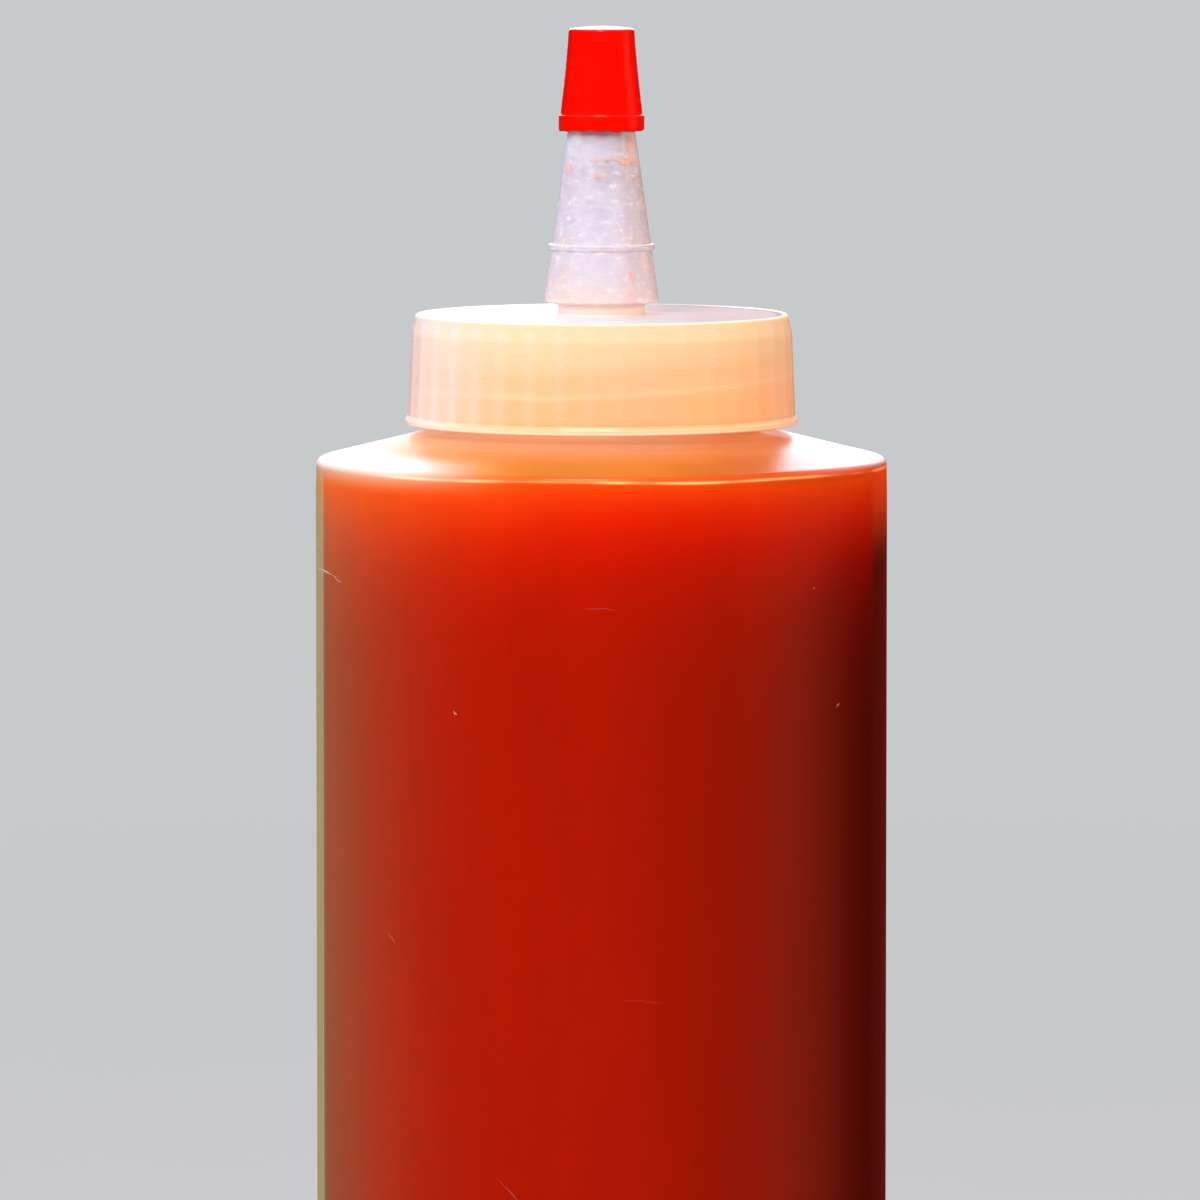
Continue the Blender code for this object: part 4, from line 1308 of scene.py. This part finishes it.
class SQUEEZE_OT_sauce(bpy.types.Operator):
    """Fill the bottle with sauce up to its level in the neck"""
    bl_idname = "squeeze.sauce"
    bl_label = "Sauce"

    def execute(self, context):
        b = context.scene.squeeze_bottle
        corners = bottle_skin(b, b.wall - b.sauce_reach, b.neck_wall - b.sauce_reach, b.sauce_level, 0.0)
        sunk = corners[0][0] - 1.2 * MM
        top = [(0.0, b.sauce_level - 0.6 * MM, 0.0), (sunk, b.sauce_level - 0.55 * MM, 0.5 * MM)]
        points, faces = turned(arc_path(top + corners, step=1.2 * MM), all_round(b.columns))
        material = sauce_material(context.scene.squeeze_finish, b)
        add_piece("sauce_fill", points, faces, material, ["sauce"])
        return {"FINISHED"}


class SQUEEZE_OT_cap(bpy.types.Operator):
    """Mould the ribbed screw cap with its conical spout"""
    bl_idname = "squeeze.cap"
    bl_label = "Spout cap"

    def execute(self, context):
        cap = context.scene.squeeze_cap
        around = all_round(cap.ribs * RIB_COLUMNS) + cap.rib_angle
        outline = arc_path(cap_corners(cap), step=0.42 * MM)
        foot = np.flatnonzero(outline[:, 1] < cap.bottom + 0.001 * MM)[-1]
        outline = thinned(outline, np.arange(len(outline)) > foot)
        points, faces = turned(outline, around, cap_shape(cap), closed=True)
        material = cap_material(context.scene.squeeze_finish, cap, context.scene.squeeze_bottle)
        add_piece("milky_spout_cap", points, faces, material, ["spout_cap"],
                  rib_masks(cap, points))
        return {"FINISHED"}


class SQUEEZE_OT_tip(bpy.types.Operator):
    """Mould the red tip and push it on the spout"""
    bl_idname = "squeeze.tip"
    bl_label = "Red tip"

    def execute(self, context):
        tip = context.scene.squeeze_tip
        outline = arc_path(tip_corners(tip, context.scene.squeeze_cap), step=0.22 * MM)
        points, faces = turned(outline, all_round(tip.columns), tip_shape(tip))
        material = tip_material(context.scene.squeeze_finish, tip)
        add_piece("red_tip", points, faces, material, ["tip_cap"])
        return {"FINISHED"}


class SQUEEZE_OT_droplets(bpy.types.Operator):
    """Add the droplets that cling to the inside of the spout"""
    bl_idname = "squeeze.droplets"
    bl_label = "Droplets"

    def execute(self, context):
        # Most are low and small: powers of even draws. They reach just into the wall, so that no gap shows.
        cap = context.scene.squeeze_cap
        draw = np.random.default_rng(DROPLET_SEED)
        around = draw.uniform(0.0, FULL_TURN, cap.droplets)
        height = DROPLET_LOW + DROPLET_SPAN * draw.uniform(0.0, 1.0, cap.droplets) ** 0.85
        size = DROPLET_SIZE + DROPLET_SPREAD * draw.uniform(0.0, 1.0, cap.droplets) ** 2.2
        sizes = np.stack((size * draw.uniform(1.1, 2.3, cap.droplets), size * 0.85, size * 0.7), 1)
        places, normals = spout_places(cap, around, height)
        template, faces = ball(rings=6, columns=9)
        points, faces = scatter(template, faces, places, normals, sizes, lift=0.12 * MM)
        add_piece("spout_droplets", points, faces, droplet_material(context.scene.squeeze_finish))
        return {"FINISHED"}


class SQUEEZE_OT_smears(bpy.types.Operator):
    """Add the thin sauce left inside the spout"""
    bl_idname = "squeeze.smears"
    bl_label = "Smears"

    def execute(self, context):
        points, faces, depth = joined([
            film_patch(context.scene.squeeze_cap, math.radians(start), math.radians(end), low * MM, high * MM,
                       wobble * MM, seed)
            for seed, (start, end, low, high, wobble) in enumerate(SMEARS)])
        material = smear_material(context.scene.squeeze_finish)
        add_piece("spout_smears", points, faces, material, masks={"depth": depth})
        return {"FINISHED"}


class SQUEEZE_OT_marks(bpy.types.Operator):
    """Add the scratches and nicks on the bottle's body"""
    bl_idname = "squeeze.marks"
    bl_label = "Scratches"

    def execute(self, context):
        points, faces, strength = joined([scratch(context.scene.squeeze_bottle, *row) for row in MARKS])
        material = scratch_material(context.scene.squeeze_finish)
        add_piece("body_scratches", points, faces, material, masks={"strength": strength})
        return {"FINISHED"}


class SQUEEZE_OT_stage(bpy.types.Operator):
    """Set the floor, the lights and the camera"""
    bl_idname = "squeeze.stage"
    bl_label = "Studio"

    def execute(self, context):
        for build in (build_world, build_floor, build_camera, build_lights):
            build(context.scene.squeeze_stage)
        context.scene.view_settings.view_transform = "Standard"
        return {"FINISHED"}


STEPS = (SQUEEZE_OT_bottle, SQUEEZE_OT_sauce, SQUEEZE_OT_cap, SQUEEZE_OT_tip, SQUEEZE_OT_droplets,
         SQUEEZE_OT_smears, SQUEEZE_OT_marks, SQUEEZE_OT_stage)


class SQUEEZE_PT_panel(bpy.types.Panel):
    """The steps that build the bottle"""
    bl_label = "Sauce Bottle"
    bl_idname = "SQUEEZE_PT_panel"
    bl_space_type = "VIEW_3D"
    bl_region_type = "UI"
    bl_category = "Sauce Bottle"

    def draw(self, context):
        for step in STEPS:
            self.layout.operator(step.bl_idname)


CLASSES = (*GROUPS.values(), *STEPS, SQUEEZE_PT_panel)


def register():
    for item in CLASSES:
        bpy.utils.register_class(item)
    for name, group in GROUPS.items():
        setattr(bpy.types.Scene, name, bpy.props.PointerProperty(type=group))


def unregister():
    for name in GROUPS:
        delattr(bpy.types.Scene, name)
    for item in reversed(CLASSES):
        bpy.utils.unregister_class(item)


def main():
    register()
    bpy.ops.squeeze.bottle()
    bpy.ops.squeeze.sauce()
    bpy.ops.squeeze.cap()
    bpy.ops.squeeze.tip()
    bpy.ops.squeeze.droplets()
    bpy.ops.squeeze.smears()
    bpy.ops.squeeze.marks()
    bpy.ops.squeeze.stage()


if __name__ == "__main__":
    main()
